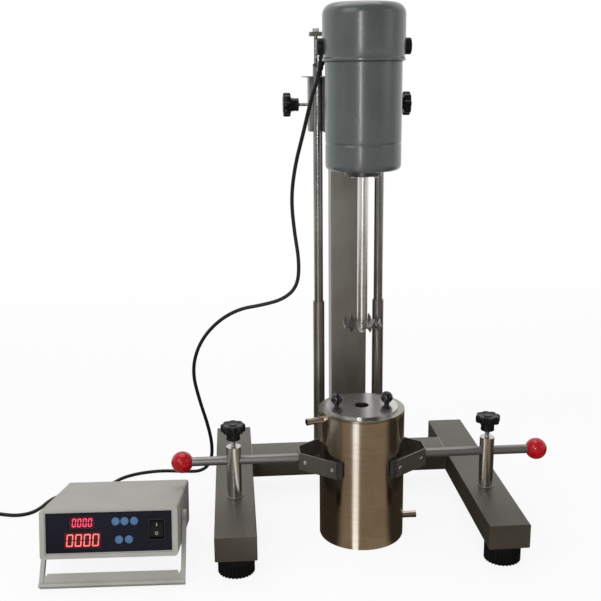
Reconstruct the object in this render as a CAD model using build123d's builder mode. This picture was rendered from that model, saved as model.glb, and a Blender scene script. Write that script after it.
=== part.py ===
from build123d import *
import math
import os

# Laboratory disperser on a bench stand, with its clamped vessel and its speed controller.
# Millimetres.  Origin: on the bench, on the axis shared by the motor, the disc and the vessel.
# +X is the operator's right, +Y is the back of the stand, +Z is up.

os.makedirs("parts", exist_ok=True)

# ---------------------------------------------------------------- driving dimensions
# clearances
running_clearance = 0.05      # radial, rod in sleeve or pin in bore
thread_clearance = 0.08       # radial, screw in a plain hole
seat_gap = 0.3                # soft or curved face beside its seat
edge_break = 1
soft_edge = 1.5

# stand
rail_spacing = 396            # between the centre lines of the two rails
rail_width = 61
rail_height = 37
rail_wall = 2.5
rail_length = 425
rail_front = -137             # y of the rails' front ends
tube_corner = 2.0
foot_height = 32
foot_diameter = 54
foot_inset = 34               # rail end to foot centre
foot_ribs = 30
foot_rib_depth = 1.6
foot_band_height = 12
foot_stud_diameter = 8
foot_nut_diameter = 15
foot_nut_height = 8
beam_depth = 61
beam_front = 147
column_width = 58.5
column_depth = 48
column_wall = 3
column_top = 763.5
yoke_thickness = 6
yoke_span = 120
yoke_depth = 28

# lift guides
rod_spacing = 100             # both pairs of vertical rods share this spacing
slide_rod_diameter = 15
slide_rod_setback = 7         # slide rod axis behind the column's front face
slide_rod_bottom = 262
slide_rod_drop = 41.5           # column's top above the slide rods' tops
slide_rod_slant = 25          # degrees, slanted top ends
sleeve_diameter = 19
sleeve_top = 336
guide_rod_diameter = 6
guide_rod_setback = 14        # guide rod axis ahead of the column's back face
guide_rod_end = 1.5           # past the yoke's top

# motor head
bracket_drop = 63.5             # column's top above the bracket's top
bracket_height = 85
bracket_width = 126
bracket_plate = 6
block_width = 27
block_rod_cut = 1              # between the cut in a block and the slide rod
block_depth = 55
block_gap = 10                # clamp block face ahead of the column's front face
flange_plate = 1.5
flange_width = 146
flange_front = 120
saddle_width = 72
saddle_height = 65
saddle_rise = 10              # saddle bottom above the bracket's bottom
saddle_wall = 4
lock_rise = 42                # lock screw above the bracket's bottom
lock_screw_diameter = 6
lock_screw_exposed = 15.4
motor_radius = 54.5
motor_wall = 2.5
motor_overhang = 45             # bracket's bottom above the motor's bottom
motor_floor = 4
motor_length = 158
motor_bottom_round = 8
cap_radius = 58.6
cap_wall = 4
cap_lap = 6
cap_lip_height = 4
cap_waist = 1.4
cap_waist_bottom = 6.4        # above the cap's bottom
cap_waist_top = 20
cap_rise = 72.3               # cap's shoulder above the housing
cap_crown = 1.3
cap_flat_radius = 8
cap_corner = 16
cap_ledge = 3
hub_wall = 5
bearing_diameter = 26
bearing_height = 8
motor_shaft_diameter = 10
lower_bearing_rise = 2
upper_bearing_inset = 22.3    # below the cap's shoulder
shaft_end_clearance = 1.5
stator_inner = 27
stator_rise = 55              # above the housing's bottom
stator_height = 70
air_gap = 1
armature_height = 60
commutator_diameter = 30
commutator_height = 20
armature_slots = 12
armature_slot_radius = 2
brush_rise = 14               # brush axis above the housing
brush_section = 6
brush_length = 24
brush_holder_diameter = 12
brush_holder_wall = 1.5
brush_holder_inner_end = 24
brush_cap_diameter = 23
brush_cap_height = 8.5
brush_flat_inset = 1.2
motor_flange_diameter = 54
motor_flange_height = 8
motor_flange_screw_circle = 46
motor_flange_screws = 4
motor_flange_screw_diameter = 4.2
gland_angle = 152.5           # degrees around the cap
gland_diameter = 14
gland_length = 21
gland_sink = 1.5              # into the side of the cap
gland_lean = (-4.5, 5, -22.8) # direction in which the motor lead leaves

# rotor
drive_shaft_diameter = 16
drive_shaft_bottom = 341
shaft_coupling_depth = 25
shaft_top_gap = 2             # drive shaft top below the housing
disc_radius = 28.5
disc_thickness = 2
disc_teeth = 12               # of each kind
tooth_up = 9
tooth_down = 6
tooth_width = 6
stud_diameter = 6
stud_length = 14
nut_across_flats = 10
nut_height = 6
washer_diameter = 14
washer_height = 1.6

# vessel
vessel_radius = 65.4
vessel_wall = 1.5
vessel_height = 204.6
vessel_floor = 2
liner_radius = 52             # inside
liner_floor_height = 14
ring_height = 3
lid_radius = 55
lid_thickness = 3
lid_spigot = 4
lid_spigot_gap = 0.5
lid_hole_diameter = 22
lid_knob_spacing = 77
lid_ball_radius = 9.5
lid_stem_diameter = 8
lid_stem_height = 2.4
nozzle_diameter = 10
nozzle_bore = 7
nozzle_bead = 1
upper_nozzle_angle = 198.5
upper_nozzle_height = 197
upper_nozzle_length = 27
lower_nozzle_angle = 0
lower_nozzle_height = 24.5
lower_nozzle_length = 22

# vessel clamps
post_diameter = 22.6
post_height = 82
arm_rise = 59                 # arm axis above the rail's top
arm_diameter = 14
arm_reach = 277               # vessel axis to ball centre
arm_ball_radius = 16.7
arm_stud_diameter = 8
jaw_sheet = 2
jaw_height = 27
jaw_angle = 39                # wing from the arm's axis
jaw_web = 28
jaw_bend = 3
pad_thickness = 5.7
pad_height = 24
pad_before_tip = 14
pad_past_tip = 8
post_screw_diameter = 8
post_screw_exposed = 11
post_screw_clearance = 0.1

# star knobs (lock knobs and post knobs)
knob_diameter = 38
knob_thickness = 12.2
knob_hub_diameter = 22
knob_hub_height = 13
knob_lobes = 8
knob_scallop = 4.6
knob_lobe_round = 1

# controller case
case_x_centre = -374
case_front_y = -150
case_front_height = 54.2      # front bottom edge above the bench
case_yaw = -1.8
case_tilt = 13.5
case_width = 191
case_height = 68
case_depth = 198
case_wall = 2.5
case_corner = 4
frame_side = 6.5
frame_bottom = 6
frame_top = 3
frame_depth = 8
panel_recess = 2
panel_thickness = 3
panel_gap = 0.2
window_gap = 0.15
lower_window = (-36.5, 24.7, 51, 22.5)      # centre x, centre z, width, height
upper_window = (-37, 49.2, 34, 17)
button_diameter = 11.4
button_gap = 0.15
button_proud = 1.7
button_travel = 1.5
button_flange = 0.9
button_flange_height = 1
button_stem_diameter = 4
button_stem_length = 3
button_round = 0.8
button_places = ((9.8, 50), (22.1, 50), (35.4, 50), (14.1, 24.4), (27.8, 24.5))
rocker_place = (66.5, 37.2)
rocker_opening = (18.9, 24.4)
rocker_side_gap = 0.6
rocker_end_gap = 1.6
rocker_pivot_depth = 7.5
rocker_face = 7
rocker_back = 3
rocker_dish = 1.5
rocker_rest_tilt = -8         # upper end pressed
rocker_pin_diameter = 2.4
rocker_housing_wall = 1.6
rocker_housing_depth = 12
board_thickness = 1.6
board_depth = 14              # front board behind the front edge of the case
board_span = (-84, 50)
board_height = 50
board_boss_diameter = 6
boss_inset = 9
display_inset = 2
power_board_rise = 6
power_board = (150, 110)
case_foot_diameter = 14
case_foot_back = 180
case_foot_side = 75
front_foot_height = 2.5
bail_pivot = (67, 41)         # back from the front edge, up from the case's bottom
bail_outer = 98
bail_bar_height = 19
bail_leg_thickness = 6
bail_leg_width = 17
bail_bar_thickness = 6
bail_ledge = 4
bail_ledge_height = 4
bail_side_gap = 1
bail_pin_diameter = 10
bail_pin_length = 5
bail_notch = 5
case_gland_diameter = 14
case_gland_length = 14
case_gland_height = 34
mains_gland_inset = 20.5        # case side to the mains lead's gland
case_gland_spacing = 30
gland_bore_clearance = 1
gland_shoulder = 1
gland_taper = 8
gland_tail = 2

# cords
cord_diameter = 6
motor_gland_run = 24          # straight end of the motor cable
case_gland_run = 20           # straight ends at the case
coil_centre = (-652, 68)
coil_radius = 33              # middle of the turns
coil_layers = 2
coil_rows = 4
coil_edge = 2.7
coil_tail = 36
coil_run = 20                 # straight end at the coil
plug_tail = 30
plug_body = (38, 30, 18)
plug_corner = 5
plug_edge = 3
plug_pin = (18, 6.4, 1.6)
plug_pin_places = ((-6.5, 6, 60), (6.5, 6, -60), (0, 13, 0))   # x, height, turn

# ---------------------------------------------------------------- derived places
rail_x = rail_spacing / 2
rail_bottom = foot_height
rail_top = rail_bottom + rail_height
rail_back = rail_front + rail_length
foot_places_y = (rail_front + foot_inset, rail_back - foot_inset)
beam_back = beam_front + beam_depth
beam_half = rail_x - rail_width / 2
column_front = beam_back - column_depth
yoke_top = column_top + yoke_thickness
rod_x = rod_spacing / 2
slide_rod_y = column_front + slide_rod_setback
guide_rod_y = beam_back - guide_rod_setback
guide_rod_top = yoke_top + guide_rod_end
slide_radius = slide_rod_diameter / 2
slant_angle = math.radians(slide_rod_slant)
guide_radius = guide_rod_diameter / 2

slide_rod_top = column_top - slide_rod_drop
bracket_top = column_top - bracket_drop
bracket_bottom = bracket_top - bracket_height
motor_bottom = bracket_bottom - motor_overhang
block_front = column_front - block_gap
block_outer_x = bracket_width / 2
block_cut_x = rod_x - slide_radius - block_rod_cut
saddle_bottom = bracket_bottom + saddle_rise
saddle_back = block_front - bracket_plate
lock_y = guide_rod_y
lock_height = bracket_bottom + lock_rise
lock_tip_x = rod_x + guide_radius + seat_gap
lock_hub_x = block_outer_x + lock_screw_exposed
motor_top = motor_bottom + motor_length
motor_inner = motor_radius - motor_wall
cap_bottom = motor_top - cap_lap
cap_top = motor_top + cap_rise
cap_inner = cap_radius - cap_wall
cap_inner_corner = cap_corner - cap_wall
cap_inside_top = cap_top - cap_wall
stator_bottom = motor_bottom + stator_rise
armature_bottom = stator_bottom + (stator_height - armature_height) / 2
brush_height = motor_top + brush_rise
commutator_bottom = brush_height - commutator_height / 2
motor_shaft_radius = motor_shaft_diameter / 2
bearing_radius = bearing_diameter / 2
lower_bearing_bottom = motor_bottom + lower_bearing_rise
upper_bearing_bottom = cap_top - upper_bearing_inset
upper_bearing_top = upper_bearing_bottom + bearing_height
drive_shaft_radius = drive_shaft_diameter / 2
drive_shaft_top = motor_bottom - shaft_top_gap
motor_shaft_bottom = drive_shaft_top - shaft_coupling_depth
brush_face_x = commutator_diameter / 2 + seat_gap
brush_seat_x = cap_radius - brush_flat_inset

disc_top = drive_shaft_bottom
disc_bottom = disc_top - disc_thickness

ring_top = vessel_height + ring_height
lid_top = ring_top + lid_thickness
lid_ball_rise = lid_stem_height + math.sqrt(lid_ball_radius ** 2 - (lid_stem_diameter / 2) ** 2)

arm_z = rail_top + arm_rise
arm_radius = arm_diameter / 2
post_top = rail_top + post_height
pad_face = vessel_radius + seat_gap
wing_face = pad_face + pad_thickness
wing_normal = math.radians(90 - jaw_angle)
web_x = (wing_face - jaw_web / 2 * math.sin(wing_normal)) / math.cos(wing_normal)
web_outer_x = web_x + jaw_sheet
ball_seat_x = arm_reach - math.sqrt(arm_ball_radius ** 2 - arm_radius ** 2)

case_half = case_width / 2
mains_gland_x = mains_gland_inset - case_half
motor_gland_x = mains_gland_x + case_gland_spacing
case_right = Vector(1, 0, 0).rotate(Axis.Z, case_yaw)
case_back = Vector(0, math.cos(math.radians(case_tilt)), -math.sin(math.radians(case_tilt)))
case_back = case_back.rotate(Axis.Z, case_yaw)
case_up = case_right.cross(case_back)
case_edge = Vector(case_x_centre, case_front_y, case_front_height)
case_floor = Plane(origin=case_edge, x_dir=case_right, z_dir=case_up)
case_front = Plane(origin=case_edge, x_dir=case_right, z_dir=-case_back)
case_rear = Plane(origin=case_edge + case_back * case_depth, x_dir=-case_right, z_dir=case_back)
case_back_axis = Axis(origin=case_edge, direction=case_back)

FROM_BOTTOM = (Align.CENTER, Align.CENTER, Align.MIN)
FROM_TOP = (Align.CENTER, Align.CENTER, Align.MAX)
FROM_FRONT = (Align.CENTER, Align.MIN, Align.MIN)


def keep(piece, name):
    """Label a finished piece and write its STEP file under the same name."""
    piece.part.label = name
    export_step(piece.part, f"parts/{name}.step")


def side_name(side):
    return "left" if side < 0 else "right"


# ---------------------------------------------------------------- stand
def make_rail(side):
    """Closed rectangular tube lying front to back, with a weld nut over each foot."""
    with BuildPart() as rail:
        with Locations((side * rail_x, rail_front, rail_bottom)):
            Box(rail_width, rail_length, rail_height, align=FROM_FRONT)
        fillet(rail.edges().filter_by(Axis.Y), tube_corner)
        with Locations((side * rail_x, rail_front + rail_wall, rail_bottom + rail_wall)):
            Box(rail_width - 2 * rail_wall, rail_length - 2 * rail_wall,
                rail_height - 2 * rail_wall, align=FROM_FRONT, mode=Mode.SUBTRACT)
        foot_spots = [(side * rail_x, y, rail_bottom) for y in foot_places_y]
        with Locations(*foot_spots):
            Cylinder(foot_nut_diameter / 2, rail_wall + foot_nut_height, align=FROM_BOTTOM)
            Cylinder(foot_stud_diameter / 2 + running_clearance, rail_wall + foot_nut_height,
                     align=FROM_BOTTOM, mode=Mode.SUBTRACT)
    return rail


for side in (-1, 1):
    keep(make_rail(side), f"{side_name(side)}_rail")

with BuildPart() as cross_beam:
    with Locations((0, beam_front, rail_bottom)):
        Box(2 * beam_half, beam_depth, rail_height, align=FROM_FRONT)
    fillet(cross_beam.edges().filter_by(Axis.X), tube_corner)
    with Locations((0, beam_front + rail_wall, rail_bottom + rail_wall)):
        Box(2 * beam_half, beam_depth - 2 * rail_wall, rail_height - 2 * rail_wall,
            align=FROM_FRONT, mode=Mode.SUBTRACT)
keep(cross_beam, "cross_beam")

with BuildPart() as column:
    with Locations((0, column_front, rail_top)):
        Box(column_width, column_depth, column_top - rail_top, align=FROM_FRONT)
    fillet(column.edges().filter_by(Axis.Z), tube_corner)
    with Locations((0, column_front + column_wall, rail_top)):
        Box(column_width - 2 * column_wall, column_depth - 2 * column_wall,
            column_top - rail_top, align=FROM_FRONT, mode=Mode.SUBTRACT)
keep(column, "column")

with BuildPart() as top_yoke:
    with BuildSketch(Plane.XY.offset(column_top)):
        with Locations((0, column_front)):
            Rectangle(column_width, column_depth, align=(Align.CENTER, Align.MIN))
        with Locations((0, beam_back)):
            Rectangle(yoke_span, yoke_depth, align=(Align.CENTER, Align.MAX))
        with Locations((-rod_x, guide_rod_y), (rod_x, guide_rod_y)):
            Circle(guide_radius + running_clearance, mode=Mode.SUBTRACT)
    extrude(amount=yoke_thickness)
    fillet(top_yoke.edges().filter_by(Axis.Z).group_by(Axis.X)[0], tube_corner)
    fillet(top_yoke.edges().filter_by(Axis.Z).group_by(Axis.X)[-1], tube_corner)
keep(top_yoke, "top_yoke")

with BuildPart() as guide_rods:
    with BuildSketch(Plane.XY.offset(rail_top)):
        with Locations((-rod_x, guide_rod_y), (rod_x, guide_rod_y)):
            Circle(guide_radius)
    extrude(amount=guide_rod_top - rail_top)
keep(guide_rods, "guide_rods")

with BuildPart() as sleeves:
    with BuildSketch(Plane.XY.offset(rail_top)):
        with Locations((-rod_x, slide_rod_y), (rod_x, slide_rod_y)):
            Circle(sleeve_diameter / 2)
            Circle(slide_radius + running_clearance, mode=Mode.SUBTRACT)
    extrude(amount=sleeve_top - rail_top)
keep(sleeves, "sleeves")


def make_foot(x, y):
    """Levelling foot: smooth band over a ribbed skirt, with its stud."""
    with BuildPart() as foot:
        with BuildSketch():
            with Locations((x, y)):
                Circle(foot_diameter / 2)
        extrude(amount=foot_height)
        with BuildSketch():
            with Locations((x, y)):
                with PolarLocations(foot_diameter / 2, foot_ribs):
                    Circle(foot_rib_depth)
        extrude(amount=foot_height - foot_band_height, mode=Mode.SUBTRACT)
        with Locations((x, y, foot_height)):
            Cylinder(foot_stud_diameter / 2, rail_wall + foot_nut_height, align=FROM_BOTTOM)
    return foot


for side in (-1, 1):
    for end, foot_y in zip(("front", "rear"), foot_places_y):
        keep(make_foot(side * rail_x, foot_y), f"{side_name(side)}_{end}_foot")

with BuildPart() as clamp_posts:
    for side in (-1, 1):
        with Locations((side * rail_x, 0, rail_top)):
            Cylinder(post_diameter / 2, post_height, align=FROM_BOTTOM)
        with Locations(Location((side * rail_x, 0, arm_z), (0, 90, 0))):
            Cylinder(arm_radius + running_clearance, post_diameter, mode=Mode.SUBTRACT)
        with Locations((side * rail_x, 0, post_top)):
            Cylinder(post_screw_diameter / 2 + post_screw_clearance, post_top - arm_z,
                     align=FROM_TOP, mode=Mode.SUBTRACT)
keep(clamp_posts, "clamp_posts")

# ---------------------------------------------------------------- motor head
with BuildPart() as slide_rods:
    with BuildSketch(Plane.XY.offset(slide_rod_bottom)):
        with Locations((-rod_x, slide_rod_y), (rod_x, slide_rod_y)):
            Circle(slide_radius)
    extrude(amount=slide_rod_top - slide_rod_bottom)
    slant = Plane((0, slide_rod_y, slide_rod_top - slide_radius * math.tan(slant_angle)),
                  z_dir=(0, -math.sin(slant_angle), math.cos(slant_angle)))
    split(bisect_by=slant, keep=Keep.BOTTOM)
keep(slide_rods, "slide_rods")


def make_clamp_block(side):
    """Block clamped behind the slide rod, sliding on the guide rod, tapped for the lock screw."""
    with BuildPart() as block:
        with Locations((side * (block_outer_x - block_width / 2), block_front, bracket_bottom)):
            Box(block_width, block_depth, bracket_height, align=FROM_FRONT)
        chamfer(block.edges().filter_by(Axis.Z), edge_break)
        with BuildSketch(Plane.XY.offset(bracket_bottom)):
            with Locations((side * (block_cut_x + block_width), slide_rod_y)):
                Rectangle(2 * block_width, block_depth, align=(Align.CENTER, Align.MAX))
            with Locations((side * rod_x, slide_rod_y)):
                Circle(slide_radius)
        extrude(amount=bracket_height, mode=Mode.SUBTRACT)
        with Locations((side * rod_x, guide_rod_y, bracket_bottom)):
            Cylinder(guide_radius + thread_clearance, bracket_height, align=FROM_BOTTOM,
                     mode=Mode.SUBTRACT)
        with BuildSketch(Plane.YZ.offset(side * rod_x)):
            with Locations((lock_y, lock_height)):
                Circle(lock_screw_diameter / 2 + running_clearance)
        extrude(amount=side * block_width, mode=Mode.SUBTRACT)
    return block


for side in (-1, 1):
    keep(make_clamp_block(side), f"{side_name(side)}_clamp_block")

with BuildPart() as motor_bracket:
    with Locations((0, block_front, bracket_bottom)):
        Box(2 * block_cut_x, bracket_plate, bracket_height, align=(Align.CENTER, Align.MAX, Align.MIN))
    with BuildSketch(Plane.XY.offset(bracket_top)):
        with Locations((0, flange_front)):
            Rectangle(flange_width, block_front + block_depth - flange_front,
                      align=(Align.CENTER, Align.MIN))
        with Locations((0, column_front - block_gap / 5)):
            Rectangle(column_width + block_gap / 2, column_depth * 2,
                      align=(Align.CENTER, Align.MIN), mode=Mode.SUBTRACT)
        with Locations((-rod_x, slide_rod_y), (rod_x, slide_rod_y)):
            Circle(slide_radius, mode=Mode.SUBTRACT)
        with Locations((-rod_x, guide_rod_y), (rod_x, guide_rod_y)):
            Circle(guide_radius + thread_clearance, mode=Mode.SUBTRACT)
    extrude(amount=flange_plate)
    with Locations((0, saddle_back, saddle_bottom)):
        Box(saddle_width, saddle_back, saddle_height, align=(Align.CENTER, Align.MAX, Align.MIN))
    with Locations((0, saddle_back, saddle_bottom + saddle_wall)):
        Box(saddle_width - 2 * saddle_wall, saddle_back, saddle_height - 2 * saddle_wall,
            align=(Align.CENTER, Align.MAX, Align.MIN), mode=Mode.SUBTRACT)
    with Locations((0, 0, bracket_bottom)):
        Cylinder(motor_radius, bracket_height, align=FROM_BOTTOM, mode=Mode.SUBTRACT)
    with Locations((0, 0, bracket_bottom)):
        Box(2 * motor_radius, 2 * motor_radius * math.cos(math.pi / 4), bracket_height,
            align=FROM_BOTTOM, mode=Mode.SUBTRACT)
keep(motor_bracket, "motor_bracket")

with BuildPart() as motor_housing:
    with BuildSketch(Plane.XY.offset(motor_bottom)):
        Circle(motor_radius)
    extrude(amount=motor_length)
    fillet(motor_housing.faces().sort_by(Axis.Z)[0].edges(), motor_bottom_round)
    with BuildSketch(Plane.XY.offset(motor_bottom + motor_floor)):
        Circle(motor_inner)
    extrude(amount=motor_length, mode=Mode.SUBTRACT)
    with BuildSketch(Plane.XY.offset(motor_bottom + motor_floor)):
        Circle(bearing_radius + hub_wall)
    extrude(amount=lower_bearing_rise + bearing_height - motor_floor)
    with BuildSketch(Plane.XY.offset(lower_bearing_bottom)):
        Circle(bearing_radius)
    extrude(amount=bearing_height, mode=Mode.SUBTRACT)
    with BuildSketch(Plane.XY.offset(motor_bottom)):
        Circle(drive_shaft_radius)
    extrude(amount=motor_floor, mode=Mode.SUBTRACT)
keep(motor_housing, "motor_housing")

shaft_pocket_top = upper_bearing_top + 2 * cap_wall
crown_slope = 2 * cap_crown / (cap_radius - cap_corner - cap_flat_radius)
with BuildPart() as motor_cap:
    with BuildSketch(Plane.XZ):
        with BuildLine():
            Polyline((0, cap_bottom), (cap_radius, cap_bottom), (cap_radius, cap_bottom + cap_lip_height),
                     (cap_radius - cap_waist, cap_bottom + cap_waist_bottom),
                     (cap_radius, cap_bottom + cap_waist_top), (cap_radius, cap_top - cap_corner))
            JernArc(start=(cap_radius, cap_top - cap_corner), tangent=(0, 1), radius=cap_corner, arc_size=90)
            TangentArc((cap_radius - cap_corner, cap_top), (cap_flat_radius, cap_top + cap_crown),
                       tangent=(-1, crown_slope))
            Polyline((cap_flat_radius, cap_top + cap_crown), (0, cap_top + cap_crown), (0, cap_bottom))
        make_face()
    revolve(axis=Axis.Z)
    with BuildSketch(Plane.XZ):
        with BuildLine():
            Polyline((0, cap_bottom), (motor_radius, cap_bottom), (motor_radius, motor_top),
                     (motor_inner, motor_top), (motor_inner, motor_top + cap_ledge),
                     (cap_inner, motor_top + cap_ledge), (cap_inner, cap_inside_top - cap_inner_corner),
                     (cap_inner - cap_inner_corner, cap_inside_top),
                     (bearing_radius + hub_wall, cap_inside_top),
                     (bearing_radius + hub_wall, upper_bearing_bottom),
                     (bearing_radius, upper_bearing_bottom), (bearing_radius, upper_bearing_top),
                     (motor_shaft_radius + shaft_end_clearance, upper_bearing_top),
                     (motor_shaft_radius + shaft_end_clearance, shaft_pocket_top),
                     (0, shaft_pocket_top), close=True)
        make_face()
    revolve(axis=Axis.Z, mode=Mode.SUBTRACT)
    for side in (-1, 1):
        with BuildSketch(Plane.YZ.offset(side * brush_seat_x)):
            with Locations((0, brush_height)):
                Circle(brush_cap_diameter / 2)
        extrude(amount=side * cap_wall, mode=Mode.SUBTRACT)
        with BuildSketch(Plane.YZ.offset(side * brush_holder_inner_end)):
            with Locations((0, brush_height)):
                Circle(brush_holder_diameter / 2)
        extrude(amount=side * cap_radius, mode=Mode.SUBTRACT)
keep(motor_cap, "motor_cap")

with BuildPart() as field_stator:
    with BuildSketch(Plane.XY.offset(stator_bottom)):
        Circle(motor_inner)
        Circle(stator_inner, mode=Mode.SUBTRACT)
        with PolarLocations((motor_inner + stator_inner) / 2, 2, start_angle=90):
            SlotOverall(stator_inner, stator_inner / 3, rotation=90, mode=Mode.SUBTRACT)
    extrude(amount=stator_height)
keep(field_stator, "field_stator")

with BuildPart() as motor_bearings:
    for bearing_bottom in (lower_bearing_bottom, upper_bearing_bottom):
        with BuildSketch(Plane.XY.offset(bearing_bottom)):
            Circle(bearing_radius)
            Circle(motor_shaft_radius + running_clearance, mode=Mode.SUBTRACT)
        extrude(amount=bearing_height)
keep(motor_bearings, "motor_bearings")

with BuildPart() as brush_caps:
    for side in (-1, 1):
        with BuildSketch(Plane.YZ.offset(side * brush_seat_x)):
            with Locations((0, brush_height)):
                Circle(brush_cap_diameter / 2)
        extrude(amount=side * (brush_flat_inset + brush_cap_height))
        with BuildSketch(Plane.YZ.offset(side * brush_holder_inner_end)):
            with Locations((0, brush_height)):
                Circle(brush_holder_diameter / 2)
        extrude(amount=side * (brush_seat_x - brush_holder_inner_end))
        with BuildSketch(Plane.YZ.offset(side * brush_holder_inner_end)):
            with Locations((0, brush_height)):
                Circle(brush_holder_diameter / 2 - brush_holder_wall)
        extrude(amount=side * (brush_seat_x - brush_holder_inner_end), mode=Mode.SUBTRACT)
    chamfer(brush_caps.edges().filter_by(GeomType.CIRCLE).group_by(Axis.X)[0], soft_edge)
    chamfer(brush_caps.edges().filter_by(GeomType.CIRCLE).group_by(Axis.X)[-1], soft_edge)
keep(brush_caps, "brush_caps")

with BuildPart() as carbon_brushes:
    for side in (-1, 1):
        with Locations((side * (brush_face_x + brush_length / 2), 0, brush_height)):
            Box(brush_length, brush_section, brush_section)
keep(carbon_brushes, "carbon_brushes")

with BuildPart() as shaft_flange:
    with BuildSketch(Plane.XY.offset(motor_bottom)):
        Circle(motor_flange_diameter / 2)
        Circle(drive_shaft_radius + seat_gap, mode=Mode.SUBTRACT)
        with PolarLocations(motor_flange_screw_circle / 2, motor_flange_screws, start_angle=45):
            Circle(motor_flange_screw_diameter / 2, mode=Mode.SUBTRACT)
    extrude(amount=-motor_flange_height)
    rim_edges = shaft_flange.edges().filter_by(GeomType.CIRCLE).sort_by(SortBy.RADIUS)[-2:]
    chamfer(rim_edges.sort_by(Axis.Z)[0], edge_break)
keep(shaft_flange, "shaft_flange")

gland_direction = Vector(*gland_lean).normalized()
gland_reach = cap_radius + gland_diameter / 2 - gland_sink
gland_axis_x = gland_reach * math.cos(math.radians(gland_angle))
gland_axis_y = gland_reach * math.sin(math.radians(gland_angle))
gland_top = Vector(gland_axis_x, gland_axis_y, cap_bottom) - gland_direction * gland_length
cable_start = gland_top + gland_direction * gland_length
with BuildPart() as motor_cable_gland:
    with BuildSketch(Plane(origin=gland_top, z_dir=gland_direction)):
        Circle(gland_diameter / 2)
    extrude(amount=gland_length)
    chamfer(motor_cable_gland.edges().sort_by(Axis.Z)[-1], soft_edge)
    with Locations((0, 0, cap_bottom - gland_length)):
        Cylinder(cap_radius, 3 * gland_length, align=FROM_BOTTOM, mode=Mode.SUBTRACT)
keep(motor_cable_gland, "motor_cable_gland")


def star_knob(plane, stem_length, stem_diameter):
    """Star knob whose screw points along the plane's negative normal.

    The plane lies on the hub's inner face, where the screw comes out.
    """
    with BuildPart() as knob:
        with BuildSketch(plane.offset(-stem_length)):
            Circle(stem_diameter / 2)
        extrude(amount=stem_length)
        with BuildSketch(plane):
            Circle(knob_hub_diameter / 2)
        extrude(amount=knob_hub_height)
        with BuildSketch(plane.offset(knob_hub_height)):
            Circle(knob_diameter / 2)
            with PolarLocations(knob_diameter / 2 + knob_scallop / 3, knob_lobes):
                Circle(knob_scallop, mode=Mode.SUBTRACT)
            fillet(vertices(), knob_lobe_round)
        extrude(amount=knob_thickness)
    return knob


for side in (-1, 1):
    lock_plane = Plane(origin=(side * lock_hub_x, lock_y, lock_height), z_dir=(side, 0, 0))
    keep(star_knob(lock_plane, lock_hub_x - lock_tip_x, lock_screw_diameter),
         f"{side_name(side)}_lock_knob")
    post_plane = Plane((side * rail_x, 0, post_top + post_screw_exposed))
    post_screw_length = post_top + post_screw_exposed - arm_z - arm_radius - seat_gap
    keep(star_knob(post_plane, post_screw_length, post_screw_diameter),
         f"{side_name(side)}_post_knob")

# ---------------------------------------------------------------- rotor
with BuildPart() as armature:
    with Locations((0, 0, motor_shaft_bottom)):
        Cylinder(motor_shaft_radius, upper_bearing_top + cap_wall - motor_shaft_bottom,
                 align=FROM_BOTTOM)
    with BuildSketch(Plane.XY.offset(armature_bottom)):
        Circle(stator_inner - air_gap)
        with PolarLocations(stator_inner - air_gap, armature_slots):
            Circle(armature_slot_radius, mode=Mode.SUBTRACT)
    extrude(amount=armature_height)
    with Locations((0, 0, commutator_bottom)):
        Cylinder(commutator_diameter / 2, commutator_height, align=FROM_BOTTOM)
keep(armature, "armature")

with BuildPart() as drive_shaft:
    with Locations((0, 0, drive_shaft_bottom)):
        Cylinder(drive_shaft_radius, drive_shaft_top - drive_shaft_bottom, align=FROM_BOTTOM)
    with Locations((0, 0, drive_shaft_top)):
        Cylinder(motor_shaft_radius, shaft_coupling_depth, align=FROM_TOP, mode=Mode.SUBTRACT)
    with Locations((0, 0, drive_shaft_bottom)):
        Cylinder(stud_diameter / 2, stud_length, align=FROM_TOP)
keep(drive_shaft, "drive_shaft")

tooth_inner = disc_radius - disc_thickness
tooth_half = tooth_width / 2
tooth_face = Plane(origin=(tooth_inner, 0, disc_bottom), x_dir=(0, 1, 0), z_dir=(1, 0, 0))
with BuildPart() as rising_tooth:
    with BuildSketch(tooth_face):
        Polygon((-tooth_half, 0), (tooth_half, 0), (tooth_half, disc_thickness),
                (tooth_half / 3, disc_thickness + tooth_up), (-tooth_half, disc_thickness + tooth_up / 3),
                align=None)
    extrude(amount=disc_thickness)
with BuildPart() as falling_tooth:
    with BuildSketch(tooth_face):
        Polygon((-tooth_half, disc_thickness), (-tooth_half, 0), (tooth_half / 3, -tooth_down),
                (tooth_half, -tooth_down / 3), (tooth_half, disc_thickness), align=None)
    extrude(amount=disc_thickness)

with BuildPart() as dispersing_disc:
    with BuildSketch(Plane.XY.offset(disc_bottom)):
        Circle(tooth_inner + disc_thickness / 4)
        Circle(stud_diameter / 2, mode=Mode.SUBTRACT)
    extrude(amount=disc_thickness)
    with PolarLocations(0, disc_teeth):
        add(rising_tooth.part)
    with PolarLocations(0, disc_teeth, start_angle=180 / disc_teeth):
        add(falling_tooth.part)
keep(dispersing_disc, "dispersing_disc")

with BuildPart() as disc_nut:
    with BuildSketch(Plane.XY.offset(disc_bottom)):
        Circle(washer_diameter / 2)
    extrude(amount=-washer_height)
    with BuildSketch(Plane.XY.offset(disc_bottom - washer_height)):
        RegularPolygon(nut_across_flats / 2, 6, major_radius=False)
    extrude(amount=-nut_height)
    with Locations((0, 0, disc_bottom)):
        Cylinder(stud_diameter / 2, washer_height + nut_height, align=FROM_TOP, mode=Mode.SUBTRACT)
keep(disc_nut, "disc_nut")

# ---------------------------------------------------------------- jacketed vessel
nozzles = ((upper_nozzle_angle, upper_nozzle_height, upper_nozzle_length),
           (lower_nozzle_angle, lower_nozzle_height, lower_nozzle_length))

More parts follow.
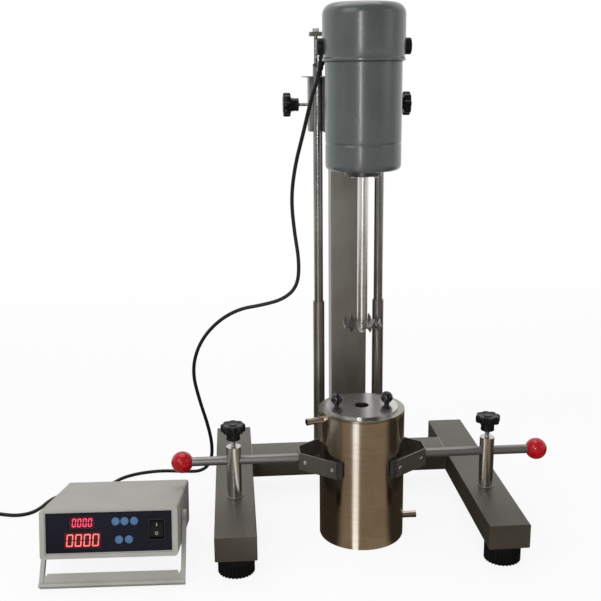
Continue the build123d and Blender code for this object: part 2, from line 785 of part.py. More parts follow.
with BuildPart() as vessel_jacket:
    Cylinder(vessel_radius, vessel_height, align=FROM_BOTTOM)
    with Locations((0, 0, vessel_floor)):
        Cylinder(vessel_radius - vessel_wall, vessel_height, align=FROM_BOTTOM, mode=Mode.SUBTRACT)
    for angle, height, length in nozzles:
        outward = Vector(1, 0, 0).rotate(Axis.Z, angle)
        with BuildSketch(Plane(origin=outward * liner_radius + Vector(0, 0, height), z_dir=outward)):
            Circle(nozzle_bore / 2)
        extrude(amount=vessel_radius, mode=Mode.SUBTRACT)
keep(vessel_jacket, "vessel_jacket")

with BuildPart() as vessel_liner:
    with BuildSketch(Plane.XY.offset(liner_floor_height)):
        Circle(liner_radius + vessel_wall)
    extrude(amount=ring_top - liner_floor_height)
    with BuildSketch(Plane.XY.offset(vessel_height)):
        Circle(vessel_radius)
    extrude(amount=ring_height)
    with BuildSketch(Plane.XY.offset(liner_floor_height + vessel_wall)):
        Circle(liner_radius)
    extrude(amount=ring_top, mode=Mode.SUBTRACT)
keep(vessel_liner, "vessel_liner")

with BuildPart() as vessel_nozzles:
    for angle, height, length in nozzles:
        outward = Vector(1, 0, 0).rotate(Axis.Z, angle)
        root = outward * liner_radius + Vector(0, 0, height)
        reach = vessel_radius - liner_radius + length
        with BuildSketch(Plane(origin=root, z_dir=outward)):
            Circle(nozzle_diameter / 2)
        extrude(amount=reach)
        with BuildSketch(Plane(origin=root + outward * (reach - 2 * nozzle_bead), z_dir=outward)):
            Circle(nozzle_diameter / 2 + nozzle_bead / 2)
        extrude(amount=nozzle_bead)
        with BuildSketch(Plane(origin=root, z_dir=outward)):
            Circle(nozzle_bore / 2)
        extrude(amount=reach, mode=Mode.SUBTRACT)
    Cylinder(vessel_radius, vessel_height, align=FROM_BOTTOM, mode=Mode.SUBTRACT)
keep(vessel_nozzles, "vessel_nozzles")

lid_knob_spots = [(-lid_knob_spacing / 2, 0, lid_top), (lid_knob_spacing / 2, 0, lid_top)]
with BuildPart() as vessel_lid:
    with Locations((0, 0, ring_top)):
        Cylinder(lid_radius, lid_thickness, align=FROM_BOTTOM)
        Cylinder(liner_radius - lid_spigot_gap, lid_spigot, align=FROM_TOP)
    with Locations((0, 0, lid_top)):
        Cylinder(lid_hole_diameter / 2, lid_thickness + lid_spigot, align=FROM_TOP, mode=Mode.SUBTRACT)
keep(vessel_lid, "vessel_lid")

with BuildPart() as lid_knobs:
    with Locations(*lid_knob_spots):
        Cylinder(lid_stem_diameter / 2, lid_stem_height + lid_ball_radius / 2, align=FROM_BOTTOM)
    with Locations(*[(x, y, z + lid_ball_rise) for x, y, z in lid_knob_spots]):
        Sphere(lid_ball_radius)
keep(lid_knobs, "lid_knobs")

# ---------------------------------------------------------------- vessel clamps
wing_out = Vector(math.cos(wing_normal), math.sin(wing_normal), 0)
wing_tip = wing_out * wing_face
with BuildPart() as right_arm:
    with BuildSketch(Plane.XY.offset(arm_z - jaw_height / 2)):
        with BuildLine():
            FilletPolyline((wing_tip.X, wing_tip.Y), (web_x, jaw_web / 2), (web_x, -jaw_web / 2),
                           (wing_tip.X, -wing_tip.Y), radius=jaw_bend)
            offset(amount=jaw_sheet, side=Side.LEFT)
        make_face()
    extrude(amount=jaw_height)
    with BuildSketch(Plane.YZ.offset(web_outer_x)):
        with Locations((0, arm_z)):
            Circle(arm_radius)
    extrude(amount=ball_seat_x - web_outer_x)
    with BuildSketch(Plane.YZ.offset(ball_seat_x)):
        with Locations((0, arm_z)):
            Circle(arm_stud_diameter / 2)
    extrude(amount=arm_reach - ball_seat_x)
keep(right_arm, "right_arm")

with BuildPart() as left_arm:
    mirror(right_arm.part, about=Plane.YZ)
keep(left_arm, "left_arm")

with BuildPart() as right_arm_ball:
    with Locations((arm_reach, 0, arm_z)):
        Sphere(arm_ball_radius)
    with Locations((ball_seat_x, 0, arm_z)):
        Box(arm_ball_radius, 2 * arm_ball_radius, 2 * arm_ball_radius,
            align=(Align.MAX, Align.CENTER, Align.CENTER), mode=Mode.SUBTRACT)
    with BuildSketch(Plane.YZ.offset(ball_seat_x)):
        with Locations((0, arm_z)):
            Circle(arm_stud_diameter / 2)
    extrude(amount=arm_reach - ball_seat_x, mode=Mode.SUBTRACT)
keep(right_arm_ball, "right_arm_ball")

with BuildPart() as left_arm_ball:
    mirror(right_arm_ball.part, about=Plane.YZ)
keep(left_arm_ball, "left_arm_ball")

pad_plane = Plane(origin=wing_out * pad_face + Vector(0, 0, arm_z),
                  x_dir=(-wing_out.Y, wing_out.X, 0), z_dir=wing_out)
with BuildPart() as upper_pad:
    with BuildSketch(pad_plane):
        with Locations(((pad_past_tip - pad_before_tip) / 2, 0)):
            Rectangle(pad_past_tip + pad_before_tip, pad_height)
    extrude(amount=pad_thickness)
    fillet(upper_pad.edges().filter_by(Axis.Z), edge_break)
with BuildPart() as right_jaw_pads:
    add(upper_pad.part)
    mirror(upper_pad.part, about=Plane.XZ)
keep(right_jaw_pads, "right_jaw_pads")

with BuildPart() as left_jaw_pads:
    mirror(right_jaw_pads.part, about=Plane.YZ)
keep(left_jaw_pads, "left_jaw_pads")

# ---------------------------------------------------------------- controller
case_middle = case_height / 2
panel_width = case_width - 2 * frame_side
panel_height = case_height - frame_bottom - frame_top
panel_centre_z = frame_bottom + panel_height / 2
panel_back_depth = panel_recess + panel_thickness
sin_tilt = math.sin(math.radians(case_tilt))
cos_tilt = math.cos(math.radians(case_tilt))
rear_foot_height = (case_front_height - case_foot_back * sin_tilt
                    - case_foot_diameter / 2 * sin_tilt) / cos_tilt


def case_shell(low, high):
    """Slice of the moulded case between two heights, open at the front inside its frame."""
    with BuildPart(case_floor) as shell:
        Box(case_width, case_depth, case_height, align=FROM_FRONT)
        fillet(shell.edges().filter_by(case_back_axis), case_corner)
        with Locations((0, frame_depth, case_wall)):
            Box(case_width - 2 * case_wall, case_depth - frame_depth - case_wall,
                case_height - 2 * case_wall, align=FROM_FRONT, mode=Mode.SUBTRACT)
        with Locations((0, 0, frame_bottom)):
            Box(panel_width, frame_depth, panel_height, align=FROM_FRONT, mode=Mode.SUBTRACT)
        with Locations((0, 0, low)):
            Box(2 * case_width, 3 * case_depth, high - low,
                align=(Align.CENTER, Align.CENTER, Align.MIN), mode=Mode.INTERSECT)
    return shell


gland_spots = [(-motor_gland_x, case_gland_height), (-mains_gland_x, case_gland_height)]
gland_bore_radius = cord_diameter / 2 + gland_bore_clearance
bail_spot_plane = Plane(origin=case_edge + case_back * bail_pivot[0] + case_up * bail_pivot[1],
                        x_dir=case_back, z_dir=case_right)
power_board_centre = case_depth / 2 + frame_depth
power_board_top = case_wall + power_board_rise + board_thickness
boss_half_width = power_board[0] / 2 - boss_inset
boss_half_length = power_board[1] / 2 - boss_inset
power_bosses = [(x * boss_half_width, power_board_centre + y * boss_half_length)
                for x in (-1, 1) for y in (-1, 1)]

with BuildPart() as case_base:
    add(case_shell(0, case_middle).part)
    for foot_back, foot_length in ((case_foot_back, rear_foot_height),
                                   (case_depth - case_foot_back, front_foot_height)):
        with BuildSketch(case_floor):
            with Locations((-case_foot_side, foot_back), (case_foot_side, foot_back)):
                Circle(case_foot_diameter / 2)
        extrude(amount=-foot_length)
    with BuildSketch(case_floor.offset(case_wall)):
        with Locations(*power_bosses):
            Circle(board_boss_diameter / 2)
    extrude(amount=power_board_rise)
    with BuildSketch(case_rear):
        with Locations(*gland_spots):
            Circle(gland_bore_radius)
    extrude(amount=-case_wall, mode=Mode.SUBTRACT)
    with BuildSketch(bail_spot_plane.offset(-case_half)):
        Circle(bail_pin_diameter / 2 + running_clearance)
    extrude(amount=case_width, mode=Mode.SUBTRACT)
keep(case_base, "case_base")

with BuildPart() as case_cover:
    add(case_shell(case_middle, case_height).part)
    with BuildSketch(case_rear):
        with Locations(*gland_spots):
            Circle(gland_bore_radius)
    extrude(amount=-case_wall, mode=Mode.SUBTRACT)
    with BuildSketch(bail_spot_plane.offset(-case_half)):
        Circle(bail_pin_diameter / 2 + running_clearance)
    extrude(amount=case_width, mode=Mode.SUBTRACT)
keep(case_cover, "case_cover")

rocker_axis = case_front.from_local_coords((rocker_place[0], rocker_place[1], -rocker_pivot_depth))
rocker_half_width = rocker_opening[0] / 2 - rocker_side_gap
rocker_half_height = rocker_opening[1] / 2 - rocker_end_gap
board_boss_radius = board_boss_diameter / 2
board_bosses = [(x, panel_centre_z + side * (board_height / 2 - board_boss_radius))
                for x in (board_span[0] + board_boss_radius, board_span[1] - board_boss_radius)
                for side in (-1, 1)]
panel_face = case_front.offset(-panel_recess)
panel_rear = case_front.offset(-panel_back_depth)
with BuildPart() as front_panel:
    with BuildSketch(panel_face):
        with Locations((0, panel_centre_z)):
            Rectangle(panel_width - 2 * panel_gap, panel_height - 2 * panel_gap)
        for x, z, width, height in (lower_window, upper_window):
            with Locations((x, z)):
                Rectangle(width, height, mode=Mode.SUBTRACT)
        with Locations(*button_places):
            Circle(button_diameter / 2 + button_gap, mode=Mode.SUBTRACT)
        with Locations(rocker_place):
            Rectangle(*rocker_opening, mode=Mode.SUBTRACT)
    extrude(amount=-panel_thickness)
    with BuildSketch(panel_rear):
        with Locations(*board_bosses):
            Circle(board_boss_diameter / 2)
    extrude(amount=-(board_depth - panel_back_depth))
    with BuildSketch(panel_rear):
        with Locations(rocker_place):
            Rectangle(rocker_opening[0] + 2 * rocker_housing_wall,
                      rocker_opening[1] + 2 * rocker_housing_wall)
            Rectangle(*rocker_opening, mode=Mode.SUBTRACT)
    extrude(amount=-rocker_housing_depth)
    with BuildSketch(Plane(origin=rocker_axis - case_right * rocker_opening[0] / 2, z_dir=case_right)):
        Circle(rocker_pin_diameter / 2)
    extrude(amount=rocker_opening[0])
keep(front_panel, "front_panel")

with BuildPart() as display_windows:
    with BuildSketch(panel_face):
        for x, z, width, height in (lower_window, upper_window):
            with Locations((x, z)):
                Rectangle(width - 2 * window_gap, height - 2 * window_gap)
    extrude(amount=-panel_thickness)
keep(display_windows, "display_windows")

for number, place in enumerate(button_places, start=1):
    with BuildPart() as button:
        with BuildSketch(panel_rear):
            with Locations(place):
                Circle(button_diameter / 2)
        extrude(amount=panel_thickness + button_proud)
        fillet(button.faces().sort_by(case_back_axis)[0].edges(), button_round)
        with BuildSketch(panel_rear.offset(-window_gap)):
            with Locations(place):
                Rectangle(button_diameter, button_diameter + 2 * button_flange)
        extrude(amount=-button_flange_height)
        with BuildSketch(panel_rear):
            with Locations(place):
                Circle(button_stem_diameter / 2)
        extrude(amount=-button_stem_length)
    keep(button, f"button_{number}")

rocker_forward = (-case_back).rotate(Axis(origin=(0, 0, 0), direction=case_right), rocker_rest_tilt)
rocker_plane = Plane(origin=rocker_axis - case_right * rocker_half_width,
                     x_dir=rocker_forward, z_dir=-case_right)
with BuildPart() as rocker_switch:
    with BuildSketch(rocker_plane):
        Polygon((rocker_face, 0), (rocker_face + rocker_dish, rocker_half_height),
                (-rocker_back, rocker_half_height), (-rocker_back, -rocker_half_height),
                (rocker_face + rocker_dish, -rocker_half_height), align=None)
    extrude(amount=-2 * rocker_half_width)
    with BuildSketch(rocker_plane):
        Circle(rocker_pin_diameter / 2 + running_clearance)
    extrude(amount=-2 * rocker_half_width, mode=Mode.SUBTRACT)
keep(rocker_switch, "rocker_switch")

board_front = case_front.offset(-board_depth)
with BuildPart(case_floor) as circuit_board:
    with BuildSketch(board_front):
        with Locations(((board_span[0] + board_span[1]) / 2, panel_centre_z)):
            Rectangle(board_span[1] - board_span[0], board_height)
    extrude(amount=-board_thickness)
    with BuildSketch(board_front):
        for x, z, width, height in (lower_window, upper_window):
            with Locations((x, z)):
                Rectangle(width - display_inset, height - display_inset)
    extrude(amount=board_depth - panel_back_depth - seat_gap)
    with BuildSketch(board_front):
        with Locations(*button_places):
            Circle(button_stem_diameter)
    extrude(amount=board_depth - panel_back_depth - button_stem_length - button_travel - seat_gap)
    with Locations((0, power_board_centre, case_wall + power_board_rise)):
        Box(*power_board, board_thickness, align=FROM_BOTTOM)
    with Locations((power_board[0] / 4, power_board_centre, power_board_top)):
        Box(power_board[0] / 3, power_board[1] / 2, case_middle, align=FROM_BOTTOM)
    with Locations((-power_board[0] / 4, power_board_centre - power_board[1] / 5, power_board_top)):
        Cylinder(power_board[1] / 9, case_middle, align=FROM_BOTTOM)
keep(circuit_board, "circuit_board")

pivot_height = bail_spot_plane.origin.Z
bail_tread = bail_bar_thickness / 2 + bail_ledge
bail_reach = math.hypot(bail_outer, bail_tread)
bail_lean = math.degrees(math.atan(bail_tread / bail_outer) + math.acos(pivot_height / bail_reach))
bail_down = Vector(0, 0, -1).rotate(Axis(origin=(0, 0, 0), direction=case_right), -bail_lean)
bail_plane = Plane(origin=bail_spot_plane.origin, x_dir=bail_down, z_dir=case_right)
bail_inner_half = case_half + bail_side_gap
bail_outer_half = bail_inner_half + bail_leg_thickness
bail_bar_inner = bail_outer - bail_bar_height
with BuildPart() as tilt_bail:
    for side in (-1, 1):
        with BuildSketch(bail_plane.offset(side * bail_inner_half)):
            Circle(bail_leg_width / 2)
            Rectangle(bail_outer, bail_leg_width / 2, align=(Align.MIN, Align.CENTER))
        extrude(amount=side * bail_leg_thickness)
        with BuildSketch(bail_plane.offset(side * bail_inner_half)):
            Circle(bail_pin_diameter / 2)
        extrude(amount=-side * bail_pin_length)
    with BuildSketch(bail_plane.offset(-bail_outer_half)):
        with Locations((bail_outer, 0)):
            Rectangle(bail_bar_height, bail_bar_thickness, align=(Align.MAX, Align.CENTER))
            Rectangle(bail_ledge_height, 2 * bail_tread, align=(Align.MAX, Align.CENTER))
    extrude(amount=2 * bail_outer_half)
    for side in (-1, 1):
        with BuildSketch(Plane(origin=bail_plane.origin + case_right * side * bail_inner_half,
                               x_dir=case_right * side, z_dir=bail_plane.y_dir * side)):
            Polygon((0, bail_bar_inner - bail_notch / 5), (-bail_notch, bail_bar_inner - bail_notch / 5),
                    (-bail_notch / 2, bail_bar_inner + bail_notch), align=None)
        extrude(amount=bail_leg_width, both=True, mode=Mode.SUBTRACT)
keep(tilt_bail, "tilt_bail")

with BuildPart() as case_glands:
    with BuildSketch(case_rear):
        with Locations(*gland_spots):
            RegularPolygon(case_gland_diameter / 2, 6)
    extrude(amount=case_gland_length / 3)
    with BuildSketch(case_rear.offset(case_gland_length / 3)):
        with Locations(*gland_spots):
            Circle(case_gland_diameter / 2 - gland_shoulder)
    extrude(amount=case_gland_length * 2 / 3, taper=gland_taper)
    with BuildSketch(case_rear):
        with Locations(*gland_spots):
            Circle(gland_bore_radius - running_clearance)
    extrude(amount=-case_wall - gland_tail)
keep(case_glands, "case_glands")

# ---------------------------------------------------------------- cords
cord_radius = cord_diameter / 2
lying = cord_radius + 0.2


def case_gland_point(x, run):
    """Point on a rear gland's axis, a distance behind the gland's end."""
    return case_rear.from_local_coords((-x, case_gland_height, case_gland_length + run))


def corner_radii(points):
    """Largest tangent arcs: 0.45 of the shorter run over the tangent of half the turn."""
    radii = []
    for before, corner, after in zip(points, points[1:], points[2:]):
        run_in = corner - before
        run_out = after - corner
        half_turn = math.radians(run_in.get_angle(run_out)) / 2
        radii.append(0.45 * min(run_in.length, run_out.length) / math.tan(half_turn))
    return radii


def make_cord(name, points):
    """Round cord of straight runs joined by tangent arcs."""
    radii = corner_radii(points)
    with BuildPart() as cord:
        with BuildLine() as route:
            FilletPolyline(*points, radius=radii)
        with BuildSketch(Plane(origin=points[0], z_dir=points[1] - points[0])):
            Circle(cord_radius)
        sweep(path=route.wires()[0])
    length = route.wires()[0].length
    expected = math.pi * cord_radius ** 2 * length
    print(name, "length", round(length, 1), "radii", [round(radius) for radius in radii],
          "volume ratio", round(cord.part.volume / expected, 5))
    keep(cord, name)


motor_cable_points = [
    cable_start,
    cable_start + gland_direction * motor_gland_run,
    Vector(-70.1, 50, 670.5),
    Vector(-79.6, 80, 620),
    Vector(-91.1, 108, 568.1),
    Vector(-96.8, 125, 514.7),
    Vector(-92.3, 130, 462.7),
    Vector(-84.6, 127, 411),
    Vector(-87.9, 127, 371.5),
    Vector(-109.9, 131, 349.5),
    Vector(-145.6, 138, 338.7),
    Vector(-184.9, 146, 331.1),
    Vector(-223.4, 156, 305.8),
    Vector(-253.3, 168, 265.3),
    Vector(-265.7, 182, 213.7),
    Vector(-254.6, 196, 154.3),
    Vector(-242.7, 208, 106.8),
    Vector(-236.5, 219, 64),
    Vector(-240, 229, 28),
    Vector(-258, 239, 6),
    Vector(-292, 249, lying),
    Vector(-332, 256, lying),
    Vector(-376, 247, lying),
    Vector(-408, 224, lying),
    Vector(-422, 186, lying),
    Vector(-418, 150, 8),
    Vector(-413, 114, 22),
    case_gland_point(motor_gland_x, case_gland_run),
    case_gland_point(motor_gland_x, 0),
]
make_cord("motor_cable", motor_cable_points)

coil_height = coil_layers * cord_diameter
coil_half_band = coil_rows * cord_radius
coil_outer = coil_radius + coil_half_band
outer_turn = coil_outer - cord_radius
coil_entry = Vector(coil_centre[0] + coil_tail, coil_centre[1] + outer_turn, lying)
plug_end = Vector(coil_centre[0] - outer_turn, coil_centre[1] - coil_half_band - plug_tail,
                  coil_height - cord_radius)

mains_cable_points = [
    case_gland_point(mains_gland_x, 0),
    case_gland_point(mains_gland_x, case_gland_run),
    Vector(-442, 113, 17),
    Vector(-447, 140, 6),
    Vector(-460, 161, lying),
    Vector(-482, 171, lying),
    Vector(-504, 164, lying),
    Vector(-516, 144, lying),
    Vector(-523, 122, lying),
    Vector(-535, 104.5, lying),
    Vector(-555, 97.5, lying),
    Vector(-575, 101.5, lying),
    coil_entry + Vector(coil_run, 0, 0),
    coil_entry,
]
make_cord("mains_cable", mains_cable_points)

with BuildPart() as mains_coil:
    with BuildSketch():
        with Locations(coil_centre):
            Circle(coil_outer)
            Circle(coil_radius - coil_half_band, mode=Mode.SUBTRACT)
    extrude(amount=coil_height)
    fillet(mains_coil.edges().filter_by(GeomType.CIRCLE), coil_edge)
    with BuildSketch(Plane(origin=coil_entry, z_dir=(-1, 0, 0))):
        Circle(cord_radius)
    extrude(amount=coil_tail)
    with BuildSketch(Plane(origin=plug_end, z_dir=(0, 1, 0))):
        Circle(cord_radius)
    extrude(amount=plug_tail + coil_half_band)
keep(mains_coil, "mains_coil")

plug_length, plug_width, plug_height = plug_body
pin_length, pin_width, pin_thickness = plug_pin
with BuildPart() as mains_plug:
    with Locations((plug_end.X, plug_end.Y, 0)):
        Box(plug_width, plug_length, plug_height, align=(Align.CENTER, Align.MAX, Align.MIN))
    fillet(mains_plug.edges().filter_by(Axis.Z), plug_corner)
    fillet(mains_plug.faces().sort_by(Axis.Z)[-1].edges(), plug_edge)
    for pin_x, pin_z, turn in plug_pin_places:
        with BuildSketch(Plane(origin=(plug_end.X + pin_x, plug_end.Y - plug_length, pin_z),
                               x_dir=(1, 0, 0), z_dir=(0, -1, 0))):
            Rectangle(pin_thickness, pin_width, rotation=turn)
        extrude(amount=pin_length)
keep(mains_plug, "mains_plug")
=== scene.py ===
# %% [markdown]
# # A laboratory disperser on its bench stand
#
# The machine is a brush motor on a guided lift, a sawtooth disc on a long shaft, a jacketed
# steel vessel held by two sliding clamps, and a speed controller joined to the motor by a cable.
# The construction comes from a fixed frame: every node of it already has its real size and place.
# This script gives it finishes, cords and the fine pieces that a solid model leaves out.

# %% Load the frame
import bpy
import bmesh
import math
import numpy as np
from mathutils import Matrix


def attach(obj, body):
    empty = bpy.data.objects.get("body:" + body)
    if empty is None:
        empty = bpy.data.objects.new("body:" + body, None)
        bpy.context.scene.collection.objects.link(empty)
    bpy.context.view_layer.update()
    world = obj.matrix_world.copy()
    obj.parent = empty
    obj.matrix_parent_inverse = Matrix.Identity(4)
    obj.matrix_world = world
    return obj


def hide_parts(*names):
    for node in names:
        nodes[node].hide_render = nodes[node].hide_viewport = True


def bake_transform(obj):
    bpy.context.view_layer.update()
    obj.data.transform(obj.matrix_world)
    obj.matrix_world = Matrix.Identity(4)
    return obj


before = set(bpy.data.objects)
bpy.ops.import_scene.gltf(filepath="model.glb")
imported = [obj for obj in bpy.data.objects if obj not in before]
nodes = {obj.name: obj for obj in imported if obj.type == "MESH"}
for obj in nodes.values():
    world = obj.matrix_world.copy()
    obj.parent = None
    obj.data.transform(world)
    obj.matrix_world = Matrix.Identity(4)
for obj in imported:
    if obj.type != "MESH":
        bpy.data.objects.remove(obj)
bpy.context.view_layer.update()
MM = 0.001
print("nodes in the frame:", len(nodes))

# %% [markdown]
# ## Camera
#
# A product picture is taken from a little above and a little to the left.  The camera is given by
# its place and three angles, and its axes are worked out from them, because a look-at helper
# would lose the slight roll that the horizon of the bench has.

# %% Camera
CAMERA_PLACE = (-0.1907, -1.3452, 0.7060)
CAMERA_PITCH = math.radians(13.66)
CAMERA_YAW = math.radians(4.17)
CAMERA_ROLL = math.radians(-0.58)
CAMERA_LENS = 55.97


def camera_axes(pitch, yaw, roll):
    """Right, up and back axes.

    Forward is straight ahead turned by the yaw and tipped down by the pitch.  Right and up then
    turn about forward by the roll.
    """
    forward = np.array([math.sin(yaw) * math.cos(pitch), math.cos(yaw) * math.cos(pitch), -math.sin(pitch)])
    level = np.array([math.cos(yaw), -math.sin(yaw), 0.0])
    upright = np.cross(level, forward)
    right = level * math.cos(roll) + upright * math.sin(roll)
    up = upright * math.cos(roll) - level * math.sin(roll)
    return right, up, -forward


camera_data = bpy.data.cameras.new("product_camera")
camera_data.lens = CAMERA_LENS
camera_data.sensor_width = 36.0
camera = bpy.data.objects.new("product_camera", camera_data)
bpy.context.scene.collection.objects.link(camera)
camera_matrix = np.eye(4)
camera_matrix[:3, :3] = np.array(camera_axes(CAMERA_PITCH, CAMERA_YAW, CAMERA_ROLL)).T
camera_matrix[:3, 3] = CAMERA_PLACE
camera.matrix_world = Matrix(camera_matrix)
bpy.context.scene.camera = camera
print("camera at", CAMERA_PLACE)

# %% [markdown]
# ## Shader maths as plain expressions
#
# A finish is a small formula: how rough, how dark, where the scratches run.  Written as Math nodes
# one by one it is hard to read, so one class wraps a socket and lets Python's operators add the
# nodes.  Colours and vectors keep their own nodes, because a Math node would turn them grey.

# %% Sockets that can be added and multiplied
class Socket:
    """One output of a node tree.  Each operator adds the Math node that it stands for."""

    def __init__(self, graph, output):
        self.graph = graph
        self.output = output

    def math(self, operation, *values):
        """The output of one Math node fed with the values."""
        return self.graph.add("ShaderNodeMath", {"operation": operation}, dict(enumerate(values)))

    def __add__(self, other):
        return self.math("ADD", self, other)

    __radd__ = __add__

    def __rsub__(self, other):
        return self.math("SUBTRACT", other, self)

    def __mul__(self, other):
        return self.math("MULTIPLY", self, other)

    __rmul__ = __mul__

    def step(self, low, high):
        """0 below low, 1 above high, and a smooth rise between them."""
        settings = {"interpolation_type": "SMOOTHSTEP"}
        values = {"Value": self, "From Min": low, "From Max": high}
        return self.graph.add("ShaderNodeMapRange", settings, values)


print("a socket adds nodes for: math, +, -, *, step")

# %% [markdown]
# ## Node trees
#
# A material, a world and a smoothing modifier are all trees of nodes.  They could be wired by hand
# in the node editor, but twenty nodes are easier to follow as text.  This class adds a node, fills
# its sockets and hands back the output that the next step needs.  Places are object coordinates in
# metres, so grain and scratches keep their real size on every part.

# %% A node tree and short ways to fill it
class Graph:
    """A node tree, and short ways to add nodes to it."""

    def __init__(self, tree):
        self.tree = tree
        self.tree.nodes.clear()

    def add(self, kind, settings=None, values=None, output=0):
        """Add a node, set its settings first, then its sockets, and hand back one output, if any."""
        node = self.tree.nodes.new(kind)
        for key, value in (settings or {}).items():
            setattr(node, key, value)
        for key, value in (values or {}).items():
            self.feed(node.inputs[key], value)
        return Socket(self, node.outputs[output]) if node.outputs else None

    def feed(self, socket, value):
        """Link a socket to what feeds it, or set its constant."""
        if isinstance(value, Socket):
            self.tree.links.new(value.output, socket)
        else:
            socket.default_value = value

    def place(self, scale=(1.0, 1.0, 1.0), shift=(0.0, 0.0, 0.0)):
        """Object coordinates in metres, scaled and shifted."""
        coordinates = self.add("ShaderNodeTexCoord", output="Object")
        values = {"Vector": coordinates, "Location": shift, "Scale": scale}
        return self.add("ShaderNodeMapping", None, values)

    def axis(self, name, vector=None):
        """One coordinate of a vector: X, Y or Z."""
        vector = vector or self.place()
        return self.add("ShaderNodeSeparateXYZ", None, {"Vector": vector}, output=name)

    def noise(self, scale, detail=3.0, roughness=0.5, vector=None, distortion=0.0):
        """Soft random values around 0.5; scale is waves per metre."""
        values = {"Vector": vector or self.place(), "Scale": scale, "Detail": detail,
                  "Roughness": roughness, "Distortion": distortion}
        return self.add("ShaderNodeTexNoise", None, values, output="Fac")

    def blend(self, factor, first, second):
        """A colour that goes from the first to the second as the factor rises."""
        values = {"Factor": factor, 6: self.colour(first), 7: self.colour(second)}
        return self.add("ShaderNodeMix", {"data_type": "RGBA"}, values, output=2)

    def colour(self, value):
        """A socket as it is, or three numbers with full opacity."""
        return value if isinstance(value, Socket) else (*value, 1.0)

    def bump(self, height, distance, strength):
        """A normal from a height map; distance is the height's real size in metres."""
        values = {"Height": height, "Distance": distance, "Strength": strength}
        return self.add("ShaderNodeBump", None, values, output="Normal")


print("node trees can add: place, axis, noise, blend, bump")

# %% [markdown]
# ## What a finish is
#
# On the real machine a finish is one treatment of a surface: brushed, enamelled or moulded.  It
# could be a picture laid over the part, but a picture has to be unwrapped and has one resolution.
# One Principled shader with small formulas before it works on any shape and at any distance.

# %% Finishes as materials
class Finish(Graph):
    """A material with one Principled shader, and what feeds it."""

    def __init__(self, name, color, roughness, metallic=0.0, **constants):
        self.material = bpy.data.materials.new(name)
        self.material.use_nodes = True
        super().__init__(self.material.node_tree)
        self.shader = self.tree.nodes.new("ShaderNodeBsdfPrincipled")
        self.end = self.tree.nodes.new("ShaderNodeOutputMaterial")
        self.tree.links.new(self.shader.outputs["BSDF"], self.end.inputs["Surface"])
        self.set("Base Color", (*color, 1.0))
        self.set("Roughness", roughness)
        self.set("Metallic", metallic)
        for socket_name, value in constants.items():
            self.set(socket_name.replace("_", " "), value)
        self.material.diffuse_color = (*color, 1.0)

    def set(self, name, value):
        """Set or feed one socket of the shader."""
        self.feed(self.shader.inputs[name], value)


print("a finish starts from colour, roughness and metallic")

# %% [markdown]
# ## Background
#
# The machine stands on a plain white sweep.  A large lit backdrop could make it, but its light would
# wash over the object.  So the background is the world itself: white for the eye and through clear
# parts, and only a soft fill as light.  Gloss sees the same white behind the machine and a dim room
# in front of it, as in a real studio: polished metal needs something dark to reflect, or it looks
# like paper.

# %% World
WORLD_FILL = 0.42
ROOM_DIM = 0.17


def ray_is(graph, *names):
    """1 for any of the named kinds of ray, else 0."""
    seen = [graph.add("ShaderNodeLightPath", output=name) for name in names]
    total = seen[0]
    for one in seen[1:]:
        total = total.math("MAXIMUM", total, one)
    return total


def make_world(fill, dim):
    """White for the eye; for gloss, white behind the machine and dim in front; else the fill."""
    world = bpy.data.worlds.new("white_sweep")
    bpy.context.scene.world = world
    world.use_nodes = True
    graph = Graph(world.node_tree)
    direction = graph.add("ShaderNodeTexCoord", output="Generated")
    behind = graph.axis("Y", direction).step(-0.15, 0.35)
    aside = graph.axis("X", direction).math("ABSOLUTE", graph.axis("X", direction)).step(0.80, 0.97)
    room = dim + (1.0 - dim) * behind.math("MAXIMUM", behind, aside * 0.5)
    direct = ray_is(graph, "Is Camera Ray", "Is Transmission Ray")
    gloss = ray_is(graph, "Is Glossy Ray")
    strength = direct + gloss * room + (1.0 - direct.math("MAXIMUM", direct, gloss)) * fill
    background = graph.add("ShaderNodeBackground", None, {"Color": (1, 1, 1, 1), "Strength": strength})
    graph.add("ShaderNodeOutputWorld", None, {"Surface": background})


make_world(WORLD_FILL, ROOM_DIM)
bpy.context.scene.view_settings.view_transform = "Standard"
print("world fill", WORLD_FILL, "and room", ROOM_DIM)

# %% [markdown]
# ## Lamps
#
# Round bulbs would give hard shadows and dots of gloss.  Soft boxes give broad ones, so each lamp is
# a rectangle with a real size in metres.  The main lamp stands on the left, a weak one on the right,
# one hangs above, and a tall narrow one near the camera draws the long highlights.

# %% Soft boxes
LAMPS = (
    ("key_lamp", (-1.7, -1.5, 1.9), (0.0, 0.0, 0.35), (1.6, 1.6), 18.0),
    ("fill_lamp", (1.9, -1.0, 1.2), (0.0, 0.0, 0.35), (1.0, 1.4), 3.0),
    ("top_lamp", (-0.2, 0.5, 2.4), (0.0, 0.0, 0.2), (1.8, 1.8), 19.0),
    ("strip_lamp", (-0.68, -2.25, 0.9), (0.0, 0.0, 0.6), (0.12, 1.1), 11.0),
)


def make_lamp(name, place, target, size, power):
    """A rectangular area lamp whose face points from its place at the target."""
    data = bpy.data.lights.new(name, "AREA")
    data.shape = "RECTANGLE"
    data.size, data.size_y = size
    data.energy = power
    lamp = bpy.data.objects.new(name, data)
    bpy.context.scene.collection.objects.link(lamp)
    back = np.array(place) - np.array(target)
    back = back / np.linalg.norm(back)
    right = np.cross((0.0, 0.0, 1.0), back)
    right = right / np.linalg.norm(right)
    matrix = np.eye(4)
    matrix[:3, 0] = right
    matrix[:3, 1] = np.cross(back, right)
    matrix[:3, 2] = back
    matrix[:3, 3] = place
    lamp.matrix_world = Matrix(matrix)


for soft_box in LAMPS:
    make_lamp(*soft_box)
print("lamps:", len(LAMPS))

